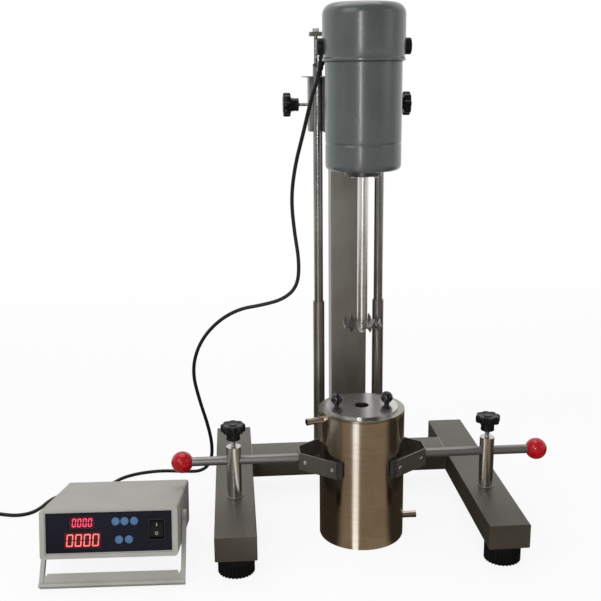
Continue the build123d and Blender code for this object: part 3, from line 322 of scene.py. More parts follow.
# %% [markdown]
# ## Floor
#
# The floor is one very large pale sheet that only takes the soft shadows.  Left to the lamps alone it
# would turn grey with distance, so most of what the eye sees of it is its own glow, which grows to
# all of it far behind the machine.

# %% Floor
FLOOR_HALF = 6.0
FLOOR_HEIGHT = -0.0004
FLOOR_GLOW = 0.89


def level_sheet(name, low, high, height):
    """A flat sheet between two corners at one height."""
    mesh = bpy.data.meshes.new(name)
    corners = [(low[0], low[1], height), (high[0], low[1], height),
               (high[0], high[1], height), (low[0], high[1], height)]
    mesh.from_pydata(corners, [], [(0, 1, 2, 3)])
    sheet = bpy.data.objects.new(name, mesh)
    bpy.context.scene.collection.objects.link(sheet)
    return sheet


def make_floor(half):
    """Pale paper that keeps its shadows near the machine and is pure white far behind it."""
    floor = level_sheet("floor", (-half, -half), (half, half), FLOOR_HEIGHT)
    finish = Finish("floor_paper", (0.93, 0.93, 0.93), 0.9)
    glow = finish.add("ShaderNodeEmission", None, {"Color": (1, 1, 1, 1), "Strength": 1.0})
    seen = ray_is(finish, "Is Camera Ray", "Is Glossy Ray", "Is Transmission Ray")
    far = finish.axis("Y").step(0.4, 2.2)
    paper = Socket(finish, finish.shader.outputs["BSDF"])
    values = {0: seen * (far * (1.0 - FLOOR_GLOW) + FLOOR_GLOW), 1: paper, 2: glow}
    mixed = finish.add("ShaderNodeMixShader", None, values)
    finish.tree.links.new(mixed.output, finish.end.inputs["Surface"])
    floor.data.materials.append(finish.material)


make_floor(FLOOR_HALF)
print("floor reaches", FLOOR_HALF, "m each way")

# %% [markdown]
# ## Gloss card
#
# Polished steel shows what stands round it more than its own colour.  A product stage has cards laid
# out for that, just out of view.  Modelling a whole room would do it too, but one card that only
# gloss sees is simple to steer: tan in front, dark at the sides, and one white wedge that draws the
# long highlight on the vessel.

# %% Card
CARD_COLORS = {"tan": (0.30, 0.235, 0.17), "dark": (0.045, 0.036, 0.027), "white": (1.75, 1.85, 1.98)}
CARD_HEIGHT = -0.0002
WINDOW_WAY = (-0.389, -0.921, 0.0)
WEDGE_SHIFT = (0.005, 0.0335, 0.0)


def make_card(colors, window_way):
    """A card on the floor round the machine, seen by gloss alone.

    Its colour depends on the direction from the vessel's axis: tan within about 60 degrees of the
    front, dark beside and behind, and white in a narrow wedge along the window's way.
    """
    card = level_sheet("gloss_card", (-2.5, -3.5), (2.5, 0.6), CARD_HEIGHT)
    finish = Finish("gloss_card", colors["tan"], 0.8)
    way = finish.add("ShaderNodeVectorMath", {"operation": "NORMALIZE"}, {0: finish.place(shift=WEDGE_SHIFT)})
    front = (finish.axis("Y", way) * -1.0).step(0.25, 0.60)
    values = {0: way, 1: window_way}
    toward = finish.add("ShaderNodeVectorMath", {"operation": "DOT_PRODUCT"}, values, "Value")
    color = finish.blend(front, colors["dark"], colors["tan"])
    color = finish.blend(toward.step(0.984, 0.997), color, colors["white"])
    glow = finish.add("ShaderNodeEmission", None, {"Color": color, "Strength": 1.0})
    finish.tree.links.new(glow.output, finish.end.inputs["Surface"])
    card.data.materials.append(finish.material)
    card.visible_camera = False
    card.visible_diffuse = False
    card.visible_transmission = False
    card.visible_shadow = False


make_card(CARD_COLORS, WINDOW_WAY)
print("card colours:", ", ".join(CARD_COLORS))

# %% [markdown]
# ## Surfaces from formulas
#
# Every new piece is a surface of two parameters: a profile turned about an axis, a section carried
# along a line, or a flat outline with a rounded edge.  The points are worked out as whole arrays,
# and one function joins them with faces.  It also closes seams and poles, turns the faces outwards
# and marks the edges that are really sharp, so that round walls look round.

# %% Grid surfaces
def grid_faces(rows, columns, wrap_rows, wrap_columns):
    """Corner numbers of the four-sided faces between neighbours of a rows by columns grid."""
    row = np.arange(rows if wrap_rows else rows - 1)
    column = np.arange(columns if wrap_columns else columns - 1)
    row, column = np.meshgrid(row, column, indexing="ij")
    next_row = (row + 1) % rows
    next_column = (column + 1) % columns
    corners = [row * columns + column, row * columns + next_column,
               next_row * columns + next_column, next_row * columns + column]
    return np.stack([corner.ravel() for corner in corners], axis=1)


print("faces of a 3 by 3 grid:", len(grid_faces(3, 3, False, False)))


# %% Pieces from grids
def tidy_mesh(mesh, sharp_degrees):
    """Close seams and poles, turn faces outwards, and shade smooth up to the sharp angle."""
    shape = bmesh.new()
    shape.from_mesh(mesh)
    bmesh.ops.remove_doubles(shape, verts=shape.verts, dist=1e-6)
    bmesh.ops.recalc_face_normals(shape, faces=shape.faces)
    shape.to_mesh(mesh)
    shape.free()
    mesh.shade_smooth()
    mesh.set_sharp_from_angle(angle=math.radians(sharp_degrees))


def new_piece(name, vertices, faces, finish, sharp_degrees=32):
    """A mesh object at the origin from arrays of points and faces."""
    mesh = bpy.data.meshes.new(name)
    mesh.from_pydata(np.asarray(vertices).tolist(), [], [list(face) for face in faces])
    tidy_mesh(mesh, sharp_degrees)
    mesh.materials.append(finish.material)
    piece = bpy.data.objects.new(name, mesh)
    bpy.context.scene.collection.objects.link(piece)
    return piece


def grid_piece(name, points, finish, wrap_rows=False, wrap_columns=False, sharp_degrees=32):
    """A piece from a rows by columns by 3 array of points."""
    rows, columns = points.shape[:2]
    faces = grid_faces(rows, columns, wrap_rows, wrap_columns)
    return new_piece(name, points.reshape(-1, 3), faces.tolist(), finish, sharp_degrees)


def joined(name, parts, finish, sharp_degrees=32):
    """Several grids of points as one piece.  Each part is (points, wrap_rows, wrap_columns)."""
    vertices = []
    faces = []
    count = 0
    for points, wrap_rows, wrap_columns in parts:
        rows, columns = points.shape[:2]
        vertices.append(points.reshape(-1, 3))
        faces.append(grid_faces(rows, columns, wrap_rows, wrap_columns) + count)
        count += rows * columns
    vertices = np.concatenate(vertices)
    return new_piece(name, vertices, np.concatenate(faces).tolist(), finish, sharp_degrees)


def settle(piece, body, slot, *replaced):
    """Attach a piece to the body it rides on and hide the nodes it stands for; the finish slot is not used.
    """
    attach(piece, body)
    if replaced:
        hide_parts(*replaced)
    print(piece.name, "faces:", len(piece.data.polygons), "on", body)
    return piece


print("pieces can be made from one grid or from several")


# %% Turned profiles and frames
def frame_axes(along, across=(0.0, 0.0, 1.0)):
    """Three unit axes with the third along the given direction."""
    third = np.asarray(along, float)
    third = third / np.linalg.norm(third)
    first = np.cross(across, third)
    if np.linalg.norm(first) < 1e-6:
        first = np.cross((0.0, 1.0, 0.0), third)
    first = first / np.linalg.norm(first)
    return first, np.cross(third, first), third


def turned(profile, origin, along=(0.0, 0.0, 1.0), sides=96):
    """Points of a profile turned about an axis.

    The profile is a list of (radius, height).  A point is the origin plus radius times the cosine
    and sine of the turn on the first two axes, plus height on the third.
    """
    profile = np.asarray(profile, float)
    first, second, third = frame_axes(along)
    turn = np.linspace(0.0, 2.0 * math.pi, sides, endpoint=False)
    ring = np.cos(turn)[:, None] * first + np.sin(turn)[:, None] * second
    return np.asarray(origin) + profile[:, 0][:, None, None] * ring + profile[:, 1][:, None, None] * third


def arc(centre, radius, start, end, steps=8):
    """Points (radius, height) on a round corner between two angles in degrees."""
    turn = np.radians(np.linspace(start, end, steps))
    return [(centre[0] + radius * math.cos(t), centre[1] + radius * math.sin(t)) for t in turn]


def scaled(profile):
    """A profile in metres from one in millimetres."""
    return [(radius * MM, height * MM) for radius, height in profile]


print("points of a turned ring:", turned([(1.0, 0.0)], (0.0, 0.0, 0.0)).shape[1])

# %% [markdown]
# ## Cords
#
# The motor cable and the mains lead are limp round cables with a black sheath.  A cable has one
# length, so each is one smooth line through listed points: it leaves its gland straight,
# droops, and lies on the bench.  The part of the mains lead that isn't needed is wound into a neat
# coil of two layers, whose turns are worked out by a loop.  The motor cable climbs with the motor,
# so its skin is turned into a mesh.

# %% Routes
CORD = 6.0
LYING = CORD / 2 + 0.2
COIL_CENTRE = (-652.0, 68.0)
COIL_RADIUS = 33.0
COIL_ROWS = 4
COIL_STEPS = 16
TAIL = 30.0

motor_route = [
    (-56.9, 29.6, 722.0), (-61.4, 34.6, 699.0), (-70.1, 50.0, 670.5), (-79.6, 80.0, 620.0),
    (-91.1, 108.0, 568.1), (-96.8, 125.0, 514.7), (-92.3, 130.0, 462.7), (-84.6, 127.0, 411.0),
    (-87.9, 127.0, 371.5), (-109.9, 131.0, 349.5), (-145.6, 138.0, 338.7), (-184.9, 146.0, 331.1),
    (-223.4, 156.0, 305.8), (-253.3, 168.0, 265.3), (-265.7, 182.0, 213.7), (-254.6, 196.0, 154.3),
    (-242.7, 208.0, 106.8), (-236.5, 219.0, 64.0), (-240.0, 229.0, 28.0), (-258.0, 239.0, 6.0),
    (-292.0, 249.0, LYING), (-332.0, 256.0, LYING), (-376.0, 247.0, LYING), (-408.0, 224.0, LYING),
    (-422.0, 186.0, LYING), (-418.0, 150.0, 8.0), (-413.0, 114.0, 22.0), (-411.7, 84.8, 33.1),
    (-412.3, 65.4, 37.8),
]
mains_route = [
    (-442.2, 66.3, 37.8), (-441.6, 85.8, 33.1), (-442.0, 113.0, 17.0), (-447.0, 140.0, 6.0),
    (-460.0, 161.0, LYING), (-482.0, 171.0, LYING), (-504.0, 164.0, LYING), (-516.0, 144.0, LYING),
    (-523.0, 122.0, LYING), (-535.0, 104.5, LYING), (-555.0, 97.5, LYING), (-575.0, 101.5, LYING),
    (-596.0, 110.0, LYING), (-616.0, 110.0, LYING), (-634.0, 110.0, LYING),
]


def coil_route(centre, radius, rows, steps):
    """Control points of a neat two-layer coil, entered from the outside of its lower layer.

    The lower layer spirals in, one row for each turn.  One turn climbs at the inner row, and the
    upper layer spirals out again and leaves on the left.  The points stand slightly outside the
    real turns, because the smooth line passes inside its control points.
    """
    outer = radius + (rows - 1) * CORD / 2
    inner = radius - (rows - 1) * CORD / 2
    turns = 2 * (rows - 1) + 1.25
    turn = np.arange(int(turns * steps) + 1) / steps
    inward = outer - CORD * turn
    outward = np.minimum(inner + CORD * (turn - rows), outer)
    row_radius = np.where(turn < rows - 1, inward, np.where(turn < rows, inner, outward))
    climb = LYING + CORD * np.clip(turn - rows + 1, 0.0, 1.0)
    angle = math.pi / 2 + 2.0 * math.pi * turn
    spread = 1.0 + 0.25 * (2.0 * math.pi / steps) ** 2 / 2
    return np.stack([centre[0] + spread * row_radius * np.cos(angle),
                     centre[1] + spread * row_radius * np.sin(angle), climb], axis=1).tolist()


coil_points = coil_route(COIL_CENTRE, COIL_RADIUS, COIL_ROWS, COIL_STEPS)
coil_band = COIL_ROWS * CORD / 2
plug_x = COIL_CENTRE[0] - COIL_RADIUS - coil_band + CORD / 2
plug_end = (plug_x, COIL_CENTRE[1] - coil_band - TAIL, LYING + CORD)
mains_route += coil_points + [(plug_x, COIL_CENTRE[1] - TAIL / 2, plug_end[2]), plug_end]
print("points in the routes:", len(motor_route), len(mains_route))


# %% Cords as smooth lines
def cord_line(name, route):
    """An open NURBS line of order three with the route's points as its control points."""
    data = bpy.data.curves.new(name, "CURVE")
    data.dimensions = "3D"
    data.resolution_u = 6
    spline = data.splines.new("NURBS")
    spline.points.add(len(route) - 1)
    points = np.ones((len(route), 4))
    points[:, :3] = np.array(route) * MM
    spline.points.foreach_set("co", points.ravel())
    spline.order_u = 3
    spline.use_endpoint_u = True
    cord = bpy.data.objects.new(name, data)
    bpy.context.scene.collection.objects.link(cord)
    return cord


def line_points(cord):
    """Points along the bare line, in metres."""
    bpy.context.view_layer.update()
    line = bpy.data.meshes.new_from_object(cord)
    flat = np.empty(len(line.vertices) * 3)
    line.vertices.foreach_get("co", flat)
    bpy.data.meshes.remove(line)
    return flat.reshape(-1, 3)


def line_length(points):
    """The sum of the distances between neighbouring points."""
    return float(np.linalg.norm(np.diff(points, axis=0), axis=1).sum())


def add_section(cord, finish):
    """Give the line a round section of the cord's diameter."""
    cord.data.bevel_depth = CORD / 2 * MM
    cord.data.bevel_resolution = 5
    cord.data.use_fill_caps = True
    cord.data.materials.append(finish.material)


print("a cord is", CORD, "mm thick")

# %% [markdown]
# ## The two cords
#
# The mains lead lies still, so it stays a smooth line with a round section.  The motor cable has to
# bend when the head moves, and only a mesh can be shared between two bodies, so its line is turned
# into one.

# %% Sheath, mains lead and motor cable
sheath = Finish("cord_sheath", (0.010, 0.010, 0.011), 0.42, Specular_IOR_Level=0.3)
sheath_grain = sheath.noise(900.0, 3.0, 0.6)
sheath.set("Base Color", sheath.blend(sheath_grain, (0.006, 0.006, 0.007), (0.018, 0.018, 0.019)))
sheath.set("Roughness", sheath_grain * 0.22 + 0.32)
sheath.set("Normal", sheath.bump(sheath_grain, 0.00006, 0.5))

mains_cord = cord_line("mains_cord", mains_route)
mains_length = line_length(line_points(mains_cord))
add_section(mains_cord, sheath)

motor_line = cord_line("motor_line", motor_route)
motor_path = line_points(motor_line)
add_section(motor_line, sheath)
bpy.context.view_layer.update()
motor_cord = bpy.data.objects.new("motor_cord", bpy.data.meshes.new_from_object(motor_line))
bpy.context.scene.collection.objects.link(motor_cord)
bpy.data.objects.remove(motor_line)
motor_cord.data.shade_smooth()

# %% [markdown]
# ## Finishes
#
# Every finish is measured in metres, so that grain has its real size.  Steel sections are drawn and
# lacquered, with a long grain; ground rods are finer and brighter; the vessel is polished round and
# round.  Enamel and moulded plastic get the slight waviness that breaks a reflection.

# %% Metals
def brushed(name, dark, light, roughness, along, grain=900.0, depth=0.00002, metallic=1.0):
    """Metal with scratches along one axis: stretched noise moves its tone, gloss and normal."""
    finish = Finish(name, light, roughness, metallic)
    scale = [1.0, 1.0, 1.0]
    scale["XYZ".index(along)] = 0.015
    streaks = finish.noise(grain, 4.0, 0.65, finish.place(tuple(scale)))
    cloud = finish.noise(11.0, 3.0, 0.5)
    tone = (streaks * 0.45 + cloud * 0.55).step(0.36, 0.64)
    finish.set("Base Color", finish.blend(tone, dark, light))
    finish.set("Roughness", streaks * 0.24 + cloud * 0.1 + (roughness - 0.17))
    finish.set("Normal", finish.bump(streaks, depth, 0.6))
    return finish


rail_steel = brushed("rail_steel", (0.088, 0.081, 0.066), (0.122, 0.113, 0.094), 0.42, "Y", metallic=0.75)
beam_steel = brushed("beam_steel", (0.100, 0.093, 0.078), (0.136, 0.128, 0.108), 0.42, "X", metallic=0.75)
column_steel = brushed("column_steel", (0.185, 0.177, 0.158), (0.250, 0.241, 0.218), 0.38, "Z", metallic=0.8)
clamp_steel = brushed("clamp_steel", (0.17, 0.17, 0.165), (0.23, 0.23, 0.225), 0.45, "Z", 500.0, metallic=0.6)
jaw_steel = brushed("jaw_steel", (0.16, 0.15, 0.135), (0.22, 0.21, 0.19), 0.4, "Z", 700.0, metallic=0.8)
ARM_ROD_START = (0.0985, 0.0995)
arm_reach = jaw_steel.axis("X").math("ABSOLUTE", jaw_steel.axis("X")).step(*ARM_ROD_START)
plate_tone = Socket(jaw_steel, jaw_steel.shader.inputs["Base Color"].links[0].from_socket)
jaw_steel.set("Base Color", jaw_steel.blend(arm_reach, plate_tone, (0.235, 0.228, 0.216)))
rod_steel = brushed("rod_steel", (0.20, 0.196, 0.188), (0.31, 0.304, 0.293), 0.24, "Z", 1400.0, 0.00001)
shaft_steel = brushed("shaft_steel", (0.62, 0.61, 0.60), (0.80, 0.79, 0.77), 0.22, "Z", 1400.0, 0.00001)
arm_steel = brushed("arm_steel", (0.52, 0.508, 0.484), (0.68, 0.666, 0.636), 0.23, "X", 1400.0, 0.00001)
sleeve_steel = brushed("sleeve_steel", (0.23, 0.222, 0.207), (0.35, 0.341, 0.322), 0.33, "Z", 1100.0)
bolt_steel = brushed("bolt_steel", (0.42, 0.41, 0.40), (0.62, 0.61, 0.59), 0.3, "Z", 2500.0, 0.00001)
# The flange under the motor gets a very dark tone: painted shade for the shadow that the motor casts on it.
flange_shade_tone = brushed("flange_shade_tone", (0.06, 0.061, 0.061), (0.10, 0.101, 0.101), 0.36, "Z", 1800.0)
print("materials after the brushed metals:", len(bpy.data.materials))


# %% Round-polished sheet metal
def round_brushed(name, dark, light, roughness, rings, depth):
    """Polished sheet metal whose fine lines run round the vertical axis."""
    finish = Finish(name, light, roughness, 1.0)
    lines = finish.noise(rings, 3.0, 0.7, finish.place((0.02, 0.02, 1.0)))
    stain = finish.noise(9.0, 5.0, 0.62, distortion=0.6)
    scuff = finish.noise(160.0, 6.0, 0.75).step(0.6, 0.8)
    tone = (lines * 0.3 + stain * 0.7).step(0.34, 0.66)
    finish.set("Base Color", finish.blend(tone, dark, light))
    finish.set("Roughness", lines * 0.16 + scuff * 0.16 + stain * 0.08 + (roughness - 0.1))
    finish.set("Normal", finish.bump(lines, depth, 0.5))
    return finish


vessel_steel = round_brushed("vessel_steel", (0.44, 0.37, 0.29), (0.60, 0.53, 0.44), 0.15, 900.0, 0.000006)
ring_steel = round_brushed("ring_steel", (0.27, 0.25, 0.22), (0.38, 0.355, 0.32), 0.2, 900.0, 0.000006)
lid_steel = round_brushed("lid_steel", (0.50, 0.49, 0.475), (0.68, 0.67, 0.65), 0.22, 300.0, 0.00002)
disc_steel = round_brushed("disc_steel", (0.16, 0.157, 0.15), (0.26, 0.255, 0.245), 0.3, 800.0, 0.00002)
print("materials after the polished ones:", len(bpy.data.materials))


# %% Enamel, plastics and rubber
def moulded(name, dark, light, roughness, grain, depth, patchy=0.12, **constants):
    """Paint or plastic: a fine even texture in the normal and a slow drift of tone and gloss."""
    finish = Finish(name, light, roughness, 0.0, **constants)
    fine = finish.noise(grain, 2.0, 0.5)
    slow = finish.noise(17.0, 4.0, 0.55)
    finish.set("Base Color", finish.blend(slow.step(0.3, 0.7), dark, light))
    finish.set("Roughness", fine * patchy + slow * 0.08 + (roughness - 0.04 - patchy / 2))
    finish.set("Normal", finish.bump(fine, depth, 0.5))
    return finish


motor_paint = moulded("motor_paint", (0.070, 0.080, 0.079), (0.082, 0.093, 0.092), 0.27, 120.0, 0.000008,
                      0.02, Coat_Weight=0.25, Coat_Roughness=0.16)
black_plastic = moulded("black_plastic", (0.004, 0.004, 0.0045), (0.009, 0.009, 0.010), 0.32, 900.0, 0.00003,
                        Specular_IOR_Level=0.22)
rocker_black = moulded("rocker_black", (0.004, 0.004, 0.0045), (0.007, 0.007, 0.008), 0.5, 900.0, 0.00003,
                       Specular_IOR_Level=0.12)
ball_black = moulded("ball_black", (0.006, 0.006, 0.007), (0.010, 0.010, 0.011), 0.14, 300.0, 0.00002)
foot_plastic = moulded("foot_plastic", (0.004, 0.004, 0.004), (0.008, 0.008, 0.008), 0.55, 1400.0, 0.00006,
                       Specular_IOR_Level=0.12)
red_gloss = moulded("red_gloss", (0.41, 0.0025, 0.008), (0.47, 0.003, 0.010), 0.20, 60.0, 0.000004, 0.02,
                    Specular_IOR_Level=0.35, Coat_Weight=0.15, Coat_Roughness=0.05)
pad_rubber = moulded("pad_rubber", (0.012, 0.012, 0.012), (0.026, 0.026, 0.025), 0.72, 1600.0, 0.0001)
case_plastic = moulded("case_plastic", (0.365, 0.355, 0.325), (0.405, 0.395, 0.365), 0.52, 2200.0, 0.0001)
bail_plastic = moulded("bail_plastic", (0.400, 0.390, 0.355), (0.450, 0.440, 0.405), 0.5, 2200.0, 0.0001)
panel_plastic = moulded("panel_plastic", (0.006, 0.006, 0.013), (0.009, 0.009, 0.018), 0.42, 1800.0, 0.00003,
                        Specular_IOR_Level=0.1)
window_plastic = moulded("window_plastic", (0.038, 0.002, 0.004), (0.054, 0.003, 0.006), 0.18, 400.0, 0.00001,
                         Emission_Color=(0.034, 0.001, 0.003, 1.0), Emission_Strength=1.0,
                         Specular_IOR_Level=0.2)
button_blue = moulded("button_blue", (0.040, 0.115, 0.260), (0.060, 0.160, 0.330), 0.42, 1500.0, 0.00006)
board_green = moulded("board_green", (0.02, 0.11, 0.05), (0.03, 0.16, 0.07), 0.4, 600.0, 0.00004)
carbon = moulded("brush_carbon", (0.02, 0.02, 0.02), (0.035, 0.035, 0.035), 0.6, 2500.0, 0.00006)
stator_iron = brushed("stator_iron", (0.12, 0.12, 0.125), (0.2, 0.2, 0.21), 0.5, "X", 2000.0, 0.00004)
# Painted shade: a near-black, dull finish for the strip under the motor cap's lip and for the flat slots on
# the brush caps.
painted_shade = Finish("painted_shade", (0.010, 0.010, 0.010), 0.6)
painted_shade.set("Roughness", painted_shade.noise(700.0) * 0.2 + 0.5)
mark_white = Finish("mark_white", (0.62, 0.62, 0.60), 0.45)
mark_white.set("Roughness", mark_white.noise(1500.0) * 0.2 + 0.35)
print("materials after the plastics:", len(bpy.data.materials))


# %% Lit segments
def lit(name, color, strength):
    """A lit segment: the colour glows, a little unevenly."""
    finish = Finish(name, (color[0] * 0.5, color[1] * 0.5, color[2] * 0.5), 0.35)
    uneven = finish.noise(600.0, 2.0, 0.5)
    finish.set("Emission Color", finish.blend(uneven, tuple(0.8 * value for value in color), color))
    finish.set("Emission Strength", strength)
    return finish


upper_glow = lit("upper_glow", (0.80, 0.05, 0.12), 1.0)
lower_glow = lit("lower_glow", (1.0, 0.17, 0.16), 1.15)
print("materials:", len(bpy.data.materials))


# %% [markdown]
# ## Frame nodes that keep their shape
#
# Sections, plates and small parts are right as they are.  They come as loose triangles, so their
# curved walls would show flat facets.  The meshes themselves aren't touched: one modifier joins the
# triangles, shades curved walls smooth and keeps the edges that are really sharp.

# %% Smooth walls for the frame
def smoothing_group(degrees):
    """Geometry nodes: merge equal points, shade smooth, and keep edges above the angle sharp."""
    tree = bpy.data.node_groups.new("smooth_walls", "GeometryNodeTree")
    tree.interface.new_socket("Geometry", in_out="INPUT", socket_type="NodeSocketGeometry")
    tree.interface.new_socket("Geometry", in_out="OUTPUT", socket_type="NodeSocketGeometry")
    tree.is_modifier = True
    graph = Graph(tree)
    entry = graph.add("NodeGroupInput")
    merged = graph.add("GeometryNodeMergeByDistance", None, {"Geometry": entry, "Distance": 1e-6})
    faces = graph.add("GeometryNodeSetShadeSmooth", {"domain": "FACE"}, {"Geometry": merged})
    angle = graph.add("GeometryNodeInputMeshEdgeAngle", output="Unsigned Angle")
    sharp = graph.add("FunctionNodeCompare", {"data_type": "FLOAT", "operation": "GREATER_THAN"},
                      {0: angle, 1: math.radians(degrees)})
    values = {"Geometry": faces, "Selection": sharp, "Shade Smooth": False}
    edges = graph.add("GeometryNodeSetShadeSmooth", {"domain": "EDGE"}, values)
    graph.add("NodeGroupOutput", None, {"Geometry": edges})
    return tree


SHARP_DEGREES = 28
smooth_walls = smoothing_group(SHARP_DEGREES)
print("edges stay sharp above", SHARP_DEGREES, "degrees")


# %% Finishes for the frame nodes
def dress(finish, *names):
    """Give nodes a finish and smooth curved walls."""
    for name in names:
        node = nodes[name]
        node.data.materials.clear()
        node.data.materials.append(finish.material)
        node.modifiers.new("smooth_walls", "NODES").node_group = smooth_walls
    print(len(names), "nodes in", finish.material.name)


dress(rail_steel, "left_rail", "right_rail")
dress(beam_steel, "cross_beam", "top_yoke")
dress(column_steel, "column")
dress(clamp_steel, "motor_bracket", "left_clamp_block", "right_clamp_block")
dress(jaw_steel, "left_arm", "right_arm")
dress(rod_steel, "guide_rods", "slide_rods", "armature", "motor_bearings")
dress(shaft_steel, "drive_shaft")
dress(arm_steel, "clamp_posts")
dress(sleeve_steel, "sleeves")
dress(vessel_steel, "vessel_nozzles")
dress(lid_steel, "vessel_lid")
dress(ring_steel, "vessel_liner")
dress(disc_steel, "dispersing_disc", "disc_nut")
dress(foot_plastic, "left_front_foot", "right_front_foot", "left_rear_foot", "right_rear_foot")
dress(rocker_black, "rocker_switch")
dress(flange_shade_tone, "shaft_flange")
dress(stator_iron, "field_stator")
dress(carbon, "carbon_brushes")
dress(pad_rubber, "left_jaw_pads", "right_jaw_pads")
dress(case_plastic, "case_base", "case_cover")
dress(bail_plastic, "tilt_bail")
dress(panel_plastic, "front_panel")
dress(window_plastic, "display_windows")
dress(button_blue, *[f"button_{number}" for number in range(1, 6)])
dress(board_green, "circuit_board")

# %% [markdown]
# ## The motor
#
# The motor is a drawn steel can with a cast cap pressed over its end, both in the same grey-green
# enamel.  Both are turned profiles.  The cap keeps its turned lip and shallow waist.  The shade that
# falls into the lap under the lip is painted: a thin dark strip whose lower edge waves a little round
# the motor, so that it isn't quite even.  A pressed groove runs round the can.

# %% Motor can, cap and the painted shade under the lip
MOTOR_RADIUS = 54.5
MOTOR_BOTTOM = 570.0
CAP_RADIUS = 58.6
CAP_BOTTOM = 722.0
CAP_SHOULDER = 800.3
FLANGE_HOLE = 8.0
BOTTOM_ROUND = 8.0
SHOULDER_ROUND = 16.0
GROOVE_HEIGHT = 608.0
GROOVE_DEPTH = 0.7
GROOVE_WIDTH = 1.7
SIDES = 192


def motor_can():
    """Profile from the shaft hole out to the rounded bottom, up past a pressed groove to the lap."""
    bottom = [(FLANGE_HOLE, MOTOR_BOTTOM), (MOTOR_RADIUS - BOTTOM_ROUND, MOTOR_BOTTOM)]
    centre = (MOTOR_RADIUS - BOTTOM_ROUND, MOTOR_BOTTOM + BOTTOM_ROUND)
    corner = arc(centre, BOTTOM_ROUND, -90.0, 0.0, 10)
    groove = [(MOTOR_RADIUS - GROOVE_DEPTH * math.exp(-(height / GROOVE_WIDTH) ** 2), GROOVE_HEIGHT + height)
              for height in np.linspace(-4.0, 4.0, 13)]
    wall = [(MOTOR_RADIUS, height) for height in (590.0, 640.0, 680.0, 714.0)]
    wall = [corner[-1], wall[0]] + groove + wall[1:] + [(MOTOR_RADIUS, CAP_BOTTOM + 1.0)]
    return turned(scaled(bottom + corner[:-1] + wall), (0.0, 0.0, 0.0), sides=SIDES)


def motor_dome():
    """Cap profile: rolled lip, waist, straight wall, round shoulder and a very low crown."""
    lip = arc((CAP_RADIUS - 1.0, CAP_BOTTOM + 1.0), 1.0, -90.0, 0.0, 6)
    upper_lip = arc((CAP_RADIUS - 1.0, CAP_BOTTOM + 3.2), 1.0, 0.0, 70.0, 6)
    waist_height = np.linspace(5.2, 20.0, 12)
    depth = 1.4 * (1.0 - (waist_height - 5.2) / 14.8) ** 1.5
    waist = [(CAP_RADIUS - low, CAP_BOTTOM + height) for low, height in zip(depth, waist_height)]
    flat = CAP_RADIUS - SHOULDER_ROUND
    shoulder = arc((flat, CAP_SHOULDER - SHOULDER_ROUND), SHOULDER_ROUND, 0.0, 90.0, 18)
    crown = [(radius, CAP_SHOULDER + 1.3 * (1.0 - (radius / flat) ** 2))
             for radius in np.linspace(flat, 0.0, 10)]
    inner = [(MOTOR_RADIUS + 0.1, CAP_BOTTOM), (CAP_RADIUS - 1.0, CAP_BOTTOM)]
    profile = inner + lip[1:] + upper_lip + waist + shoulder + crown[1:]
    return turned(scaled(profile), (0.0, 0.0, 0.0), sides=SIDES)


def lap_shade():
    """Painted shade: a dark line under the cap's lip, whose lower edge waves by half a millimetre."""
    turn = np.linspace(0.0, 2.0 * math.pi, SIDES, endpoint=False)
    wave = 0.28 * np.sin(5.0 * turn + 0.6) + 0.22 * np.sin(11.0 * turn) + 0.12 * np.sin(23.0 * turn + 2.0)
    ring = np.stack([np.cos(turn), np.sin(turn)], axis=1)
    low = np.column_stack([ring * (MOTOR_RADIUS + 0.04), CAP_BOTTOM - 1.1 + wave])
    high = np.column_stack([ring * (MOTOR_RADIUS + 0.04), np.full(SIDES, CAP_BOTTOM + 0.4)])
    out = np.column_stack([ring * (CAP_RADIUS - 0.9), np.full(SIDES, CAP_BOTTOM - 0.05)])
    return np.stack([low, high, out]) * MM


settle(grid_piece("motor_can", motor_can(), motor_paint, wrap_columns=True), "head", "motor_paint",
       "motor_housing")
settle(grid_piece("motor_dome", motor_dome(), motor_paint, wrap_columns=True), "head", "motor_paint",
       "motor_cap")
# The strip under the cap's lip is painted shade in a near-black finish.
settle(grid_piece("motor_lap_shade", lap_shade(), painted_shade, wrap_columns=True), "head", "black_plastic")

# %% [markdown]
# ## Brush caps and cable gland
#
# Two screwed caps close the brush holders.  They are moulded in black with a ribbed rim, a raised
# face and a screwdriver slot.  The motor cable leaves the cap through a moulded gland with a bell
# mouth that tapers in steps, as strain reliefs do.

# %% Ribbed discs and boxes
def ribbed_disc(radius, height, ribs, rib_depth, edge, sides):
    """Profile rows (radius factor, height) turned with a rim that goes in and out by the ribs."""
    rows = [(0.0, 0.0), (radius, 0.0), (radius, height - edge), (radius - 0.3 * edge, height - 0.3 * edge),
            (radius - edge, height), (radius - edge - 2.0, height), (radius - edge - 2.6, height + 0.5),
            (0.0, height + 0.5)]
    turn = np.linspace(0.0, 2.0 * math.pi, sides, endpoint=False)
    rib = rib_depth * np.clip(np.cos(ribs * turn) * 1.6, -1.0, 1.0)
    near_rim = np.array([0.0, 1.0, 1.0, 0.6, 0.2, 0.0, 0.0, 0.0])
    radii = np.array([row[0] for row in rows])[:, None] + near_rim[:, None] * (rib - rib_depth)[None, :]
    heights = np.array([row[1] for row in rows])[:, None] + np.zeros(sides)[None, :]
    return radii, heights, turn


def placed(radii, heights, turn, origin, along):
    """Points from radii, heights and turns about an axis, all in millimetres."""
    first, second, third = frame_axes(along)
    ring = np.cos(turn)[:, None] * first + np.sin(turn)[:, None] * second
    points = radii[..., None] * ring[None] + heights[..., None] * third
    return (np.asarray(origin) + points) * MM


def box_points(centre, half, axes):
    """The 2 by 4 grid of a box's corners: bottom ring, then top ring, about three axes."""
    first, second, third = axes
    ring = [(-1, -1), (1, -1), (1, 1), (-1, 1)]
    rows = [[np.asarray(centre) + half[0] * a * first + half[1] * b * second + half[2] * c * third
             for a, b in ring] for c in (-1, 1)]
    caps = [np.repeat(np.mean(row, axis=0)[None], 4, axis=0) for row in rows]
    return np.array([caps[0], rows[0], rows[1], caps[1]]) * MM


